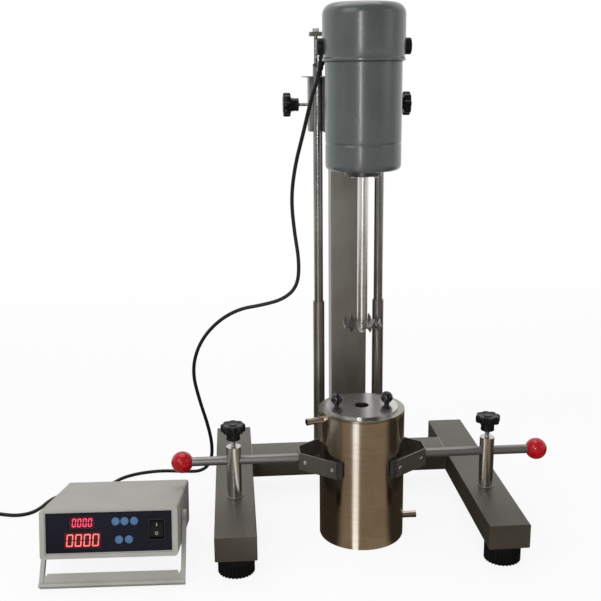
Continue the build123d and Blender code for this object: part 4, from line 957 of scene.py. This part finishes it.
print("grid of a box:", box_points((0, 0, 0), (1, 1, 1), frame_axes((1, 0, 0))).shape[:2])

# %% Brush caps
BRUSH_HEIGHT = 742.0
BRUSH_SEAT = 57.4
SLOT_OUT = 9.75
brush_parts = []
slot_parts = []
for side in (-1.0, 1.0):
    radii, heights, turn = ribbed_disc(11.5, 9.2, 24, 0.5, 1.6, 144)
    brush_cap = placed(radii, heights, turn, (side * BRUSH_SEAT, 0.0, BRUSH_HEIGHT), (side, 0, 0))
    brush_parts.append((brush_cap, False, True))
    # The slot is not cut into the face: a thin flat box in the painted-shade finish lies on it and stands for
    # the shade in the recess.
    slot_centre = (side * (BRUSH_SEAT + SLOT_OUT), 0.0, BRUSH_HEIGHT)
    slot = box_points(slot_centre, (0.7, 6.0, 0.06), frame_axes((side, 0, 0)))
    slot_parts.append((slot, False, True))
settle(joined("brush_cap_pair", brush_parts, black_plastic), "head", "black_plastic", "brush_caps")
settle(joined("brush_cap_slot_shades", slot_parts, painted_shade), "head", "black_plastic")


# %% Cable sleeves
def strain_relief(name, start, along, length, wide, narrow, body, finish, steps=5):
    """A tapered sleeve in rings: full diameter at the housing, thin at the end, with grooves."""
    rows = [(0.0, 0.0), (wide / 2, 0.0), (wide / 2, 0.10 * length)]
    for step in range(steps):
        near = 0.10 + 0.86 * step / steps
        far = 0.10 + 0.86 * (step + 1) / steps
        near_radius = (wide + (narrow - wide) * (step / steps) ** 0.8) / 2 - 0.35
        far_radius = (wide + (narrow - wide) * ((step + 1) / steps) ** 0.8) / 2
        rows += [(near_radius - 0.55, (near + 0.012) * length), (near_radius - 0.55, (near + 0.050) * length),
                 (near_radius, (near + 0.062) * length), (far_radius, far * length)]
    rows += [(narrow / 2 - 0.3, length), (0.0, length)]
    points = turned(scaled(rows), np.asarray(start) * MM, along, 40)
    return settle(grid_piece(name, points, finish, wrap_columns=True), body, "black_plastic")


strain_relief("motor_lead_sleeve", (-52.88, 25.18, 742.14), (-0.1893, 0.2103, -0.9591), 41.0, 14.0, 7.6,
              "head", black_plastic)
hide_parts("motor_cable_gland")

# %% [markdown]
# ## Star knobs
#
# Four moulded star knobs with eight lobes turn the lock screws and the arm screws.  The star's rim is
# one function of the turn: a cosine pressed flat on the lobes.  A steel screw with a rolled thread is
# moulded into each hub; its thread is a triangle wave of height minus turn, which is a true helix.

# %% Star knobs and screws
LOBES = 8


def star_knob(name, origin, along, body, replaced):
    """Hub, then a lobed star with rounded edges and a shallow dish on its outer face."""
    turn = np.linspace(0.0, 2.0 * math.pi, 160, endpoint=False)
    lobe = 0.5 - 0.5 * np.cos(LOBES * turn)
    valley = 2.9 * lobe ** 1.6
    rows = [(0.0, 0.0, 0.0), (9.4, 0.0, 0.0), (10.6, 1.0, 0.0), (10.2, 6.0, 0.0), (11.0, 12.4, 0.0),
            (16.0, 13.0, 0.7), (18.0, 13.5, 1.0), (19.0, 15.0, 1.0), (19.0, 23.0, 1.0), (18.3, 24.6, 1.0),
            (16.6, 25.2, 0.9), (13.6, 25.0, 0.3), (12.0, 24.2, 0.0), (7.0, 24.0, 0.0), (6.2, 25.0, 0.0),
            (0.0, 25.0, 0.0)]
    radii = np.array([radius - share * valley for radius, height, share in rows])
    heights = np.array([np.full(len(turn), height) for radius, height, share in rows])
    piece = grid_piece(name, placed(radii, heights, turn, origin, along), black_plastic, wrap_columns=True,
                       sharp_degrees=50)
    return settle(piece, body, "black_plastic", replaced)


def screw(name, tip, along, length, radius, pitch, finish, body):
    """A threaded rod: the radius falls and rises as a triangle wave of height / pitch - turn."""
    turn = np.linspace(0.0, 2.0 * math.pi, 24, endpoint=False)
    height = np.linspace(0.0, length, int(length / pitch * 6))
    phase = height[:, None] / pitch - turn[None, :] / (2.0 * math.pi)
    wave = np.abs(2.0 * (phase - np.floor(phase)) - 1.0)
    radii = radius - 0.55 * pitch * np.clip(wave * 1.25 - 0.12, 0.0, 1.0)
    radii = np.vstack([np.zeros(24), radii, np.zeros(24)])
    heights = np.concatenate([[0.0], height, [length]])[:, None] + np.zeros(24)
    piece = grid_piece(name, placed(radii, heights, turn, tip, along), finish, wrap_columns=True,
                       sharp_degrees=60)
    return settle(piece, body, "ground_rod")


print("lobes on a star knob:", LOBES)

# %% The four knobs in place
SIDE_WORDS = (("left", -1.0), ("right", 1.0))
ROD_BACK = 194.0
LOCK_HEIGHT = 657.0
LOCK_STAR_SIDE = 78.4
LOCK_SCREW_SIDE = 53.3
POST_SIDE = 198.0
POST_STAR_BOTTOM = 162.0
POST_SCREW_BOTTOM = 135.3
for word, side in SIDE_WORDS:
    lock_knob = f"{word}_lock_knob"
    post_knob = f"{word}_post_knob"
    star_knob(f"{word}_lock_star", (side * LOCK_STAR_SIDE, ROD_BACK, LOCK_HEIGHT), (side, 0, 0), lock_knob,
              lock_knob)
    screw(f"{word}_lock_screw", (side * LOCK_SCREW_SIDE, ROD_BACK, LOCK_HEIGHT), (side, 0, 0), 26.0, 3.0, 1.0,
          bolt_steel, lock_knob)
    star_knob(f"{word}_post_star", (side * POST_SIDE, 0.0, POST_STAR_BOTTOM), (0, 0, 1), post_knob, post_knob)
    screw(f"{word}_post_screw", (side * POST_SIDE, 0.0, POST_SCREW_BOTTOM), (0, 0, 1), 27.5, 4.0, 1.25,
          bolt_steel, post_knob)

# %% [markdown]
# ## Ball knobs
#
# The arm ends carry red moulded balls and the lid two small black ones.  A ball knob is moulded
# in two halves, so a very fine parting line runs round it, and it is flat where it meets its stem.

# %% Balls
ARM_END = 261.84
ARM_HEIGHT = 128.0
LID_KNOB_SIDE = 38.5
LID_TOP = 210.6
STEM_HEIGHT = 2.4


def ball_profile(radius, flat, steps=40):
    """(radius, height) from the flat seat round to the far pole, with a fine parting line."""
    start = math.asin(flat / radius)
    turn = np.linspace(start, math.pi, steps)
    line = 0.12 * np.exp(-((turn - math.pi / 2) / 0.03) ** 2)
    out = (radius - line) * np.sin(turn)
    rise = radius * math.cos(start) - radius * np.cos(turn)
    skin = [(float(a), float(b)) for a, b in zip(out[:-1], rise[:-1])]
    return [(0.0, 0.0)] + skin + [(0.0, float(rise[-1]))]


for word, side in SIDE_WORDS:
    ball_seat = (side * ARM_END * MM, 0.0, ARM_HEIGHT * MM)
    points = turned(scaled(ball_profile(16.7, 7.0)), ball_seat, (side, 0, 0), 80)
    settle(grid_piece(f"{word}_red_ball", points, red_gloss, wrap_columns=True), f"{word}_arm", "red_ball",
           f"{word}_arm_ball")

knob_parts = []
for side in (-1.0, 1.0):
    stem = [(0.0, 0.0), (4.6, 0.0), (4.0, 0.6), (4.0, STEM_HEIGHT)]
    round_part = [(radius, height + STEM_HEIGHT) for radius, height in ball_profile(9.5, 4.0)[1:]]
    knob_seat = (side * LID_KNOB_SIDE * MM, 0.0, LID_TOP * MM)
    knob_parts.append((turned(scaled(stem + round_part), knob_seat, sides=64), False, True))
settle(joined("lid_ball_pair", knob_parts, ball_black), "lid", "black_plastic", "lid_knobs")

# %% [markdown]
# ## The vessel's shell
#
# The jacket is sheet steel, rolled, welded and polished round and round on a lathe, so its sheen
# stretches up and down in long bands.  The shell is a turned profile: a bottom edge with a small
# round, the wall, and a broken upper edge under the ring.  The finest waviness of rolled sheet is in
# its points: a twentieth of a millimetre of slow waves.

# %% Vessel shell
VESSEL_RADIUS = 65.4
VESSEL_TOP = 204.6
VESSEL_SIDES = 256


def vessel_shell():
    """The outer wall; the radius moves by slow cosines of turn and height."""
    wall = [(55.0, 0.0), (63.4, 0.0), (64.8, 0.6), (VESSEL_RADIUS, 2.0)]
    heights = np.concatenate([np.linspace(6.0, 196.0, 30), [202.4, 203.6, 204.1]])
    wall += [(VESSEL_RADIUS, float(height)) for height in heights] + [(64.6, VESSEL_TOP)]
    points = turned(scaled(wall), (0.0, 0.0, 0.0), sides=VESSEL_SIDES)
    turn = np.linspace(0.0, 2.0 * math.pi, VESSEL_SIDES, endpoint=False)[None, :]
    height = points[:, 0, 2]
    wave = 0.05 * np.cos(3.0 * turn + 14.0 * height[:, None]) + 0.03 * np.cos(7.0 * turn + 1.0)
    inside = np.sin(np.clip(height / (VESSEL_TOP * MM), 0.0, 1.0) * math.pi)[:, None]
    factor = 1.0 + wave * inside / VESSEL_RADIUS
    points[..., 0] *= factor
    points[..., 1] *= factor
    return points


settle(grid_piece("vessel_shell", vessel_shell(), vessel_steel, wrap_columns=True, sharp_degrees=24), "stand",
       "vessel_steel", "vessel_jacket")

# %% [markdown]
# ## The controller's face
#
# The plastic border has a second, thinner rib inside it.  The display windows show four red digits
# each, and each digit is six lit bars, because a zero leaves only the middle bar dark.  The bars
# lie just in front of the windows.  The rocker has a moulded frame and its two printed marks.  All of
# it is placed in the tilted frame of the case: right, up and out.

# %% Frame of the case and flat shapes in it
CASE_EDGE = np.array([-374.0, -150.0, 54.2])
CASE_RIGHT = np.array([0.999507, -0.031411, 0.0])
CASE_BACK = np.array([0.030543, 0.97189, -0.233445])
CASE_UP = np.array([0.007333, 0.23333, 0.97237])
CASE_AXES = (CASE_RIGHT, CASE_UP, -CASE_BACK)


def on_case(across, up, out):
    """A point in millimetres from its place on the case's front."""
    return CASE_EDGE + across * CASE_RIGHT + up * CASE_UP - out * CASE_BACK


def rounded_outline(half_width, half_height, corner, steps=6):
    """Corners of a rectangle with round corners, as (across, up) pairs, going round once."""
    points = []
    for start, sign_x, sign_y in ((0, 1, 1), (90, -1, 1), (180, -1, -1), (270, 1, -1)):
        turn = np.radians(np.linspace(start, start + 90, steps))
        points += [(sign_x * (half_width - corner) + corner * math.cos(t),
                    sign_y * (half_height - corner) + corner * math.sin(t)) for t in turn]
    return np.array(points)


def lofted(origin, axes, rows):
    """Points of rounded rectangles stacked along the third axis.

    Each row is (half width, half height, corner, height).  A row of no width closes the shape.
    """
    rings = []
    for half_width, half_height, corner, height in rows:
        corner = min(corner, half_width, half_height)
        outline = rounded_outline(max(half_width, 1e-6), max(half_height, 1e-6), corner)
        ring = np.asarray(origin) + outline[:, :1] * axes[0] + outline[:, 1:] * axes[1] + height * axes[2]
        rings.append(ring * MM)
    return np.array(rings)


def rim(origin, half_width, half_height, corner, width, height, edge):
    """A raised rectangular rim with broken edges: out, up, over and down again."""
    rows = [(half_width, half_height, corner, -0.5), (half_width, half_height, corner, height - edge),
            (half_width - edge, half_height - edge, corner, height),
            (half_width - width + edge, half_height - width + edge, corner, height),
            (half_width - width, half_height - width, corner, height - edge),
            (half_width - width, half_height - width, corner, -0.5)]
    return lofted(origin, CASE_AXES, rows)


print("corners of a rounded outline:", len(rounded_outline(2.0, 1.0, 0.5)))

# %% Rib of the border and frame of the rocker
panel_out = -2.0
inner_rib = rim(on_case(0.0, 35.5, panel_out), 89.0, 29.5, 1.5, 1.6, 1.0, 0.3)
settle(grid_piece("case_inner_rib", inner_rib, case_plastic, wrap_rows=True, wrap_columns=True), "stand",
       "case_plastic")
rocker_rim = rim(on_case(66.5, 37.2, panel_out), 12.4, 15.6, 2.0, 2.6, 1.5, 0.5)
settle(grid_piece("rocker_frame", rocker_rim, black_plastic, wrap_rows=True, wrap_columns=True), "stand",
       "black_plastic")

# %% Lit digits
BAR = 1.7
SLANT = 0.09


def bar_points(centre, half_length, upright, origin_up):
    """A flat six-cornered bar with pointed ends, leaning to the right with its height."""
    half = BAR / 2
    outline = [(-half_length, 0.0), (-half_length + half, half), (half_length - half, half),
               (half_length, 0.0), (half_length - half, -half), (-half_length + half, -half)]
    if upright:
        outline = [(-second, first) for first, second in outline]
    rings = []
    for out in (0.02, 0.16):
        ring = []
        for across, up in outline:
            height = centre[1] + up
            ring.append(on_case(centre[0] + across + SLANT * (height - origin_up), height, panel_out + out))
        rings.append(np.array(ring) * MM)
    middle = [np.repeat(ring.mean(axis=0)[None], 6, axis=0) for ring in rings]
    return np.array([middle[0], rings[0], rings[1], middle[1]])


def zeros(left, right, bottom, top, count):
    """Bars of a row of zeros: a top and a bottom bar and two on each side of every digit."""
    pitch = (right - left) / (count - 0.22)
    width = pitch * 0.78
    height = top - bottom
    parts = []
    for digit in range(count):
        near = left + digit * pitch
        far = near + width
        middle = (bottom + top) / 2
        for up in (bottom + BAR / 2, top - BAR / 2):
            parts.append((bar_points(((near + far) / 2, up), width / 2 - 0.25, False, bottom), False, True))
        for across in (near + BAR / 2, far - BAR / 2):
            for up in ((bottom + middle) / 2, (middle + top) / 2):
                parts.append((bar_points((across, up), height / 4 - 0.25, True, bottom), False, True))
    return parts


settle(joined("lower_digits", zeros(-59.6, -14.5, 16.2, 33.4, 4), lower_glow), "stand", "window_plastic")
settle(joined("upper_digits", zeros(-51.3, -23.4, 43.2, 55.4, 4), upper_glow), "stand", "window_plastic")

# %% Marks on the rocker
ROCKER_AXIS = np.array([-307.031, -136.12, 88.621])
ROCKER_TILT = math.radians(-8.0)
rocker_out = -CASE_BACK * math.cos(ROCKER_TILT) - CASE_UP * math.sin(ROCKER_TILT)
rocker_up = CASE_UP * math.cos(ROCKER_TILT) - CASE_BACK * math.sin(ROCKER_TILT)
DISH = math.atan2(1.5, 10.6)


def on_rocker(height, side):
    """Origin and axes of a mark at a height above the rocker's axis; side is 1 above, -1 below."""
    out = rocker_out * math.cos(DISH) - side * rocker_up * math.sin(DISH)
    up = rocker_up * math.cos(DISH) + side * rocker_out * math.sin(DISH)
    origin = ROCKER_AXIS + rocker_up * height + rocker_out * (7.0 + 1.5 * abs(height) / 10.6)
    return origin, (CASE_RIGHT, up, out)


origin, axes = on_rocker(5.8, 1)
bar_mark = lofted(origin, axes, [(0.0, 0.0, 0.0, 0.0), (0.45, 2.2, 0.1, 0.0), (0.45, 2.2, 0.1, 0.05),
                                 (0.0, 0.0, 0.0, 0.05)])
origin, axes = on_rocker(-5.8, -1)
ring_mark = lofted(origin, axes, [(1.9, 2.2, 1.9, 0.0), (1.9, 2.2, 1.9, 0.05), (1.3, 1.6, 1.3, 0.05),
                                  (1.3, 1.6, 1.3, 0.0)])
settle(joined("rocker_marks", [(bar_mark, False, True), (ring_mark, True, True)], mark_white), "rocker",
       "button_plastic")

# %% [markdown]
# ## Rear of the controller, plug and coil tie
#
# Both cables leave the rear through tapered sleeves.  The mains plug is a moulded body with two
# slanted flat pins and an earth pin, and the cable enters it through its own ribbed sleeve.  A thin
# tie holds the spare length of the mains lead together.

# %% Rear sleeves
for name, route in (("motor_lead_rear_sleeve", motor_route[::-1]), ("mains_lead_sleeve", mains_route)):
    start = np.array(route[0]) - 14.5 * CASE_BACK
    strain_relief(name, start, CASE_BACK, 30.0, 14.0, 7.6, "stand", black_plastic)
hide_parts("case_glands")

# %% Plug, pins and sleeve
PLUG_END = np.array([-694.0, 26.0, 9.2])
PLUG_LENGTH = 38.0
PLUG_HEIGHT = 9.0
LEVEL_AXES = (np.array([1.0, 0.0, 0.0]), np.array([0.0, 0.0, 1.0]), np.array([0.0, -1.0, 0.0]))


def turned_axes(degrees):
    """The plug's axes turned about its length."""
    angle = math.radians(degrees)
    first, second, third = LEVEL_AXES
    across = first * math.cos(angle) + second * math.sin(angle)
    return across, second * math.cos(angle) - first * math.sin(angle), third


plug_rows = [(0.0, 0.0, 0.0, 0.0), (6.5, 6.0, 3.0, 0.0), (7.6, 6.6, 3.4, 2.5), (10.5, 7.6, 3.8, 8.0),
             (13.8, 8.8, 4.0, 14.0), (14.4, 9.0, 4.0, 16.5), (13.6, 8.4, 4.0, 17.6), (13.6, 8.4, 4.0, 18.8),
             (14.6, 9.0, 4.0, 20.0), (15.0, 9.0, 4.0, 23.0), (15.0, 9.0, 4.0, 35.6), (14.6, 8.7, 4.0, 37.2),
             (13.4, 7.6, 3.6, PLUG_LENGTH), (0.0, 0.0, 0.0, PLUG_LENGTH)]
plug_points = lofted((PLUG_END[0], PLUG_END[1], PLUG_HEIGHT), LEVEL_AXES, plug_rows)
plug = grid_piece("plug_body", plug_points, black_plastic, wrap_columns=True)
settle(plug, "stand", "black_plastic", "mains_plug")
pin_parts = []
for across, up, turn in ((-6.5, 6.0, 60.0), (6.5, 6.0, -60.0), (0.0, 13.0, 0.0)):
    rows = [(0.0, 0.0, 0.0, 0.0), (0.8, 3.2, 0.2, 0.0), (0.8, 3.2, 0.2, 16.6), (0.4, 2.6, 0.2, 18.0),
            (0.0, 0.0, 0.0, 18.0)]
    origin = (PLUG_END[0] + across, PLUG_END[1] - PLUG_LENGTH, up)
    pin_parts.append((lofted(origin, turned_axes(turn), rows), False, True))
plug_pins = settle(joined("plug_pins", pin_parts, bolt_steel), "stand", "ground_rod")
sleeve_start = PLUG_END - np.array([0.0, 1.0, 0.0])
plug_sleeve = strain_relief("plug_sleeve", sleeve_start, (0.0, 1.0, 0.0), 28.0, 11.5, 7.4, "stand",
                            black_plastic)

# %% Tie round the coil
TIE_TURN = math.radians(35.0)
tie_way = np.array([math.cos(TIE_TURN), math.sin(TIE_TURN), 0.0])
tie_axes = (tie_way, np.array([0.0, 0.0, 1.0]), np.cross(tie_way, (0.0, 0.0, 1.0)))
tie_origin = (COIL_CENTRE[0] + COIL_RADIUS * tie_way[0], COIL_CENTRE[1] + COIL_RADIUS * tie_way[1], 6.5)
tie_rows = [(13.2, 6.5, 3.4, -1.6), (13.2, 6.5, 3.4, 1.6), (12.7, 6.1, 3.0, 1.6), (12.7, 6.1, 3.0, -1.6)]
coil_tie = settle(grid_piece("coil_tie", lofted(tie_origin, tie_axes, tie_rows), pad_rubber, wrap_rows=True,
                             wrap_columns=True), "stand", "cord_sheath")

# %% [markdown]
# ## Nuts, screws and welds
#
# These are the small things that hold the machine together: nuts on the guide rods, screws in the
# jaws and under the motor's flange, and the welds at the foot of the column, sleeves and posts.
# A weld bead is a tube whose radius ripples with its length, about three ripples in a centimetre.

# %% Nuts and screws
def hex_nut(origin, along, across_flats, height, bore):
    """Rings of a hexagon cut off by a cone at both ends: the radius is the smaller of the two."""
    turn = np.linspace(0.0, 2.0 * math.pi, 96, endpoint=False)
    hexagon = across_flats / 2 / np.cos((turn + math.pi / 6) % (math.pi / 3) - math.pi / 6)
    cone = across_flats / 2 * 1.02
    rows = [(bore, 0.0), (cone, 0.0), (None, 0.09), (None, 0.91), (cone, 1.0), (bore, 1.0)]
    radii = np.array([hexagon if radius is None else np.minimum(radius, hexagon) for radius, share in rows])
    heights = np.array([np.full(96, share * height) for radius, share in rows])
    return placed(radii, heights, turn, origin, along), True, True


def pan_head(origin, along, radius, height):
    """A low domed screw head with a hexagonal socket pressed into it."""
    turn = np.linspace(0.0, 2.0 * math.pi, 48, endpoint=False)
    socket = 0.45 * radius / np.cos((turn + math.pi / 6) % (math.pi / 3) - math.pi / 6)
    rows = [(radius, 0.0), (radius, 0.45), (0.94 * radius, 0.7), (0.8 * radius, 0.92), (0.62 * radius, 1.0)]
    radii = np.array([np.full(48, value) for value, share in rows] + [socket, socket, np.zeros(48)])
    heights = np.array([np.full(48, share * height) for value, share in rows]
                       + [np.full(48, share * height) for share in (1.0, 0.35, 0.35)])
    return placed(radii, heights, turn, origin, along), False, True


print("rings of a nut:", hex_nut((0, 0, 0), (0, 0, 1), 10.0, 5.0, 2.9)[0].shape[0])

# %% Nuts on the guide rods
GUIDE_SIDE = 50.0
YOKE_TOP = 769.5
WASHER = 1.2
washer_profile = scaled([(3.2, 0.0), (6.2, 0.0), (6.2, WASHER), (3.2, WASHER)])
yoke_parts = []
for side in (-1.0, 1.0):
    washer_seat = (side * GUIDE_SIDE * MM, ROD_BACK * MM, YOKE_TOP * MM)
    yoke_parts.append((turned(washer_profile, washer_seat, sides=48), True, True))
    yoke_parts.append(hex_nut((side * GUIDE_SIDE, ROD_BACK, YOKE_TOP + WASHER), (0, 0, 1), 10.0, 5.0, 2.9))
settle(joined("yoke_nuts", yoke_parts, bolt_steel), "stand", "ground_rod")

# %% Screws in the jaws and under the flange
WING = math.radians(51.0)
WING_SKIN = 73.4
FLANGE_SCREW_CIRCLE = 23.0
FLANGE_FACE = 562.05
for word, side in SIDE_WORDS:
    wing_parts = []
    for front in (-1.0, 1.0):
        out = np.array([side * math.cos(WING), front * math.sin(WING), 0.0])
        tangent = np.array([side * math.sin(WING), -front * math.cos(WING), 0.0])
        for along in (7.0, 56.0):
            place = WING_SKIN * out + along * tangent + np.array([0.0, 0.0, ARM_HEIGHT])
            wing_parts.append(pan_head(place - 0.05 * out, out, 3.2, 1.9))
    settle(joined(f"{word}_jaw_screws", wing_parts, bolt_steel), f"{word}_arm", "ground_rod")

flange_parts = []
for turn in (45.0, 135.0, 225.0, 315.0):
    angle = math.radians(turn)
    way = (FLANGE_SCREW_CIRCLE * math.cos(angle), FLANGE_SCREW_CIRCLE * math.sin(angle), FLANGE_FACE)
    flange_parts.append(pan_head(way, (0, 0, -1), 3.2, 2.6))
settle(joined("flange_screws", flange_parts, bolt_steel), "head", "ground_rod")


# %% Weld beads
RIPPLE = 3.1


def straight_bead(start, end, radius):
    """A rippled tube between two points, closed at its ends."""
    start = np.asarray(start, float)
    end = np.asarray(end, float)
    length = float(np.linalg.norm(end - start))
    height = np.linspace(0.0, length, int(length / 0.7))
    ripple = radius * (0.84 + 0.16 * np.abs(np.sin(math.pi * height / RIPPLE)))
    taper = np.sqrt(np.clip(np.minimum(height, length - height) / radius, 0.0, 1.0))
    return turned(scaled(list(zip(ripple * taper, height))), start * MM, end - start, 16), False, True


def ring_bead(centre, ring_radius, radius):
    """A rippled ring lying round a bar."""
    turn = np.linspace(0.0, 2.0 * math.pi, 120, endpoint=False)
    section = np.linspace(0.0, 2.0 * math.pi, 12, endpoint=False)
    ripple = radius * (0.84 + 0.16 * np.abs(np.sin(turn * ring_radius / RIPPLE * math.pi)))
    radii = ring_radius + ripple[:, None] * np.cos(section)
    heights = ripple[:, None] * np.sin(section)
    points = np.stack([radii * np.cos(turn)[:, None], radii * np.sin(turn)[:, None], heights], axis=-1)
    return (np.asarray(centre) + points) * MM, True, True


print("ripples in a centimetre:", round(10.0 / RIPPLE, 1))

# %% Welds in place
STAND_TOP = 69.2
COLUMN_SIDE = 29.3
COLUMN_FRONT = 160.2
WELD_BACK = 207.0
RAIL_SIDE = 167.4
BEAM_FRONT = 147.1
SLEEVE_SIDE = 50.0
SLEEVE_BACK = 167.0
weld_parts = [straight_bead((-29.0, COLUMN_FRONT, STAND_TOP), (29.0, COLUMN_FRONT, STAND_TOP), 1.7)]
for side in (-1.0, 1.0):
    column_edge = side * COLUMN_SIDE
    rail_edge = side * RAIL_SIDE
    column_back = (column_edge, WELD_BACK, STAND_TOP)
    weld_parts.append(straight_bead((column_edge, 161.0, STAND_TOP), column_back, 1.7))
    weld_parts.append(straight_bead((rail_edge, 148.0, 68.6), (rail_edge, WELD_BACK, 68.6), 1.5))
    weld_parts.append(straight_bead((rail_edge, BEAM_FRONT, 34.0), (rail_edge, BEAM_FRONT, 67.0), 1.5))
    weld_parts.append(ring_bead((side * POST_SIDE, 0.0, STAND_TOP), 11.5, 1.5))
    weld_parts.append(ring_bead((side * SLEEVE_SIDE, SLEEVE_BACK, STAND_TOP), 9.7, 1.4))
settle(joined("weld_beads", weld_parts, column_steel, 60), "stand", "bare_steel")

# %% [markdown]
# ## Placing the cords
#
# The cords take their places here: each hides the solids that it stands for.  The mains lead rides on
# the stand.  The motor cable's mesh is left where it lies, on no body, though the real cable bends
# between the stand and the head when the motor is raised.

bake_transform(motor_cord)
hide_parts("motor_cable")
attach(mains_cord, "stand")
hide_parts("mains_cable", "mains_coil")
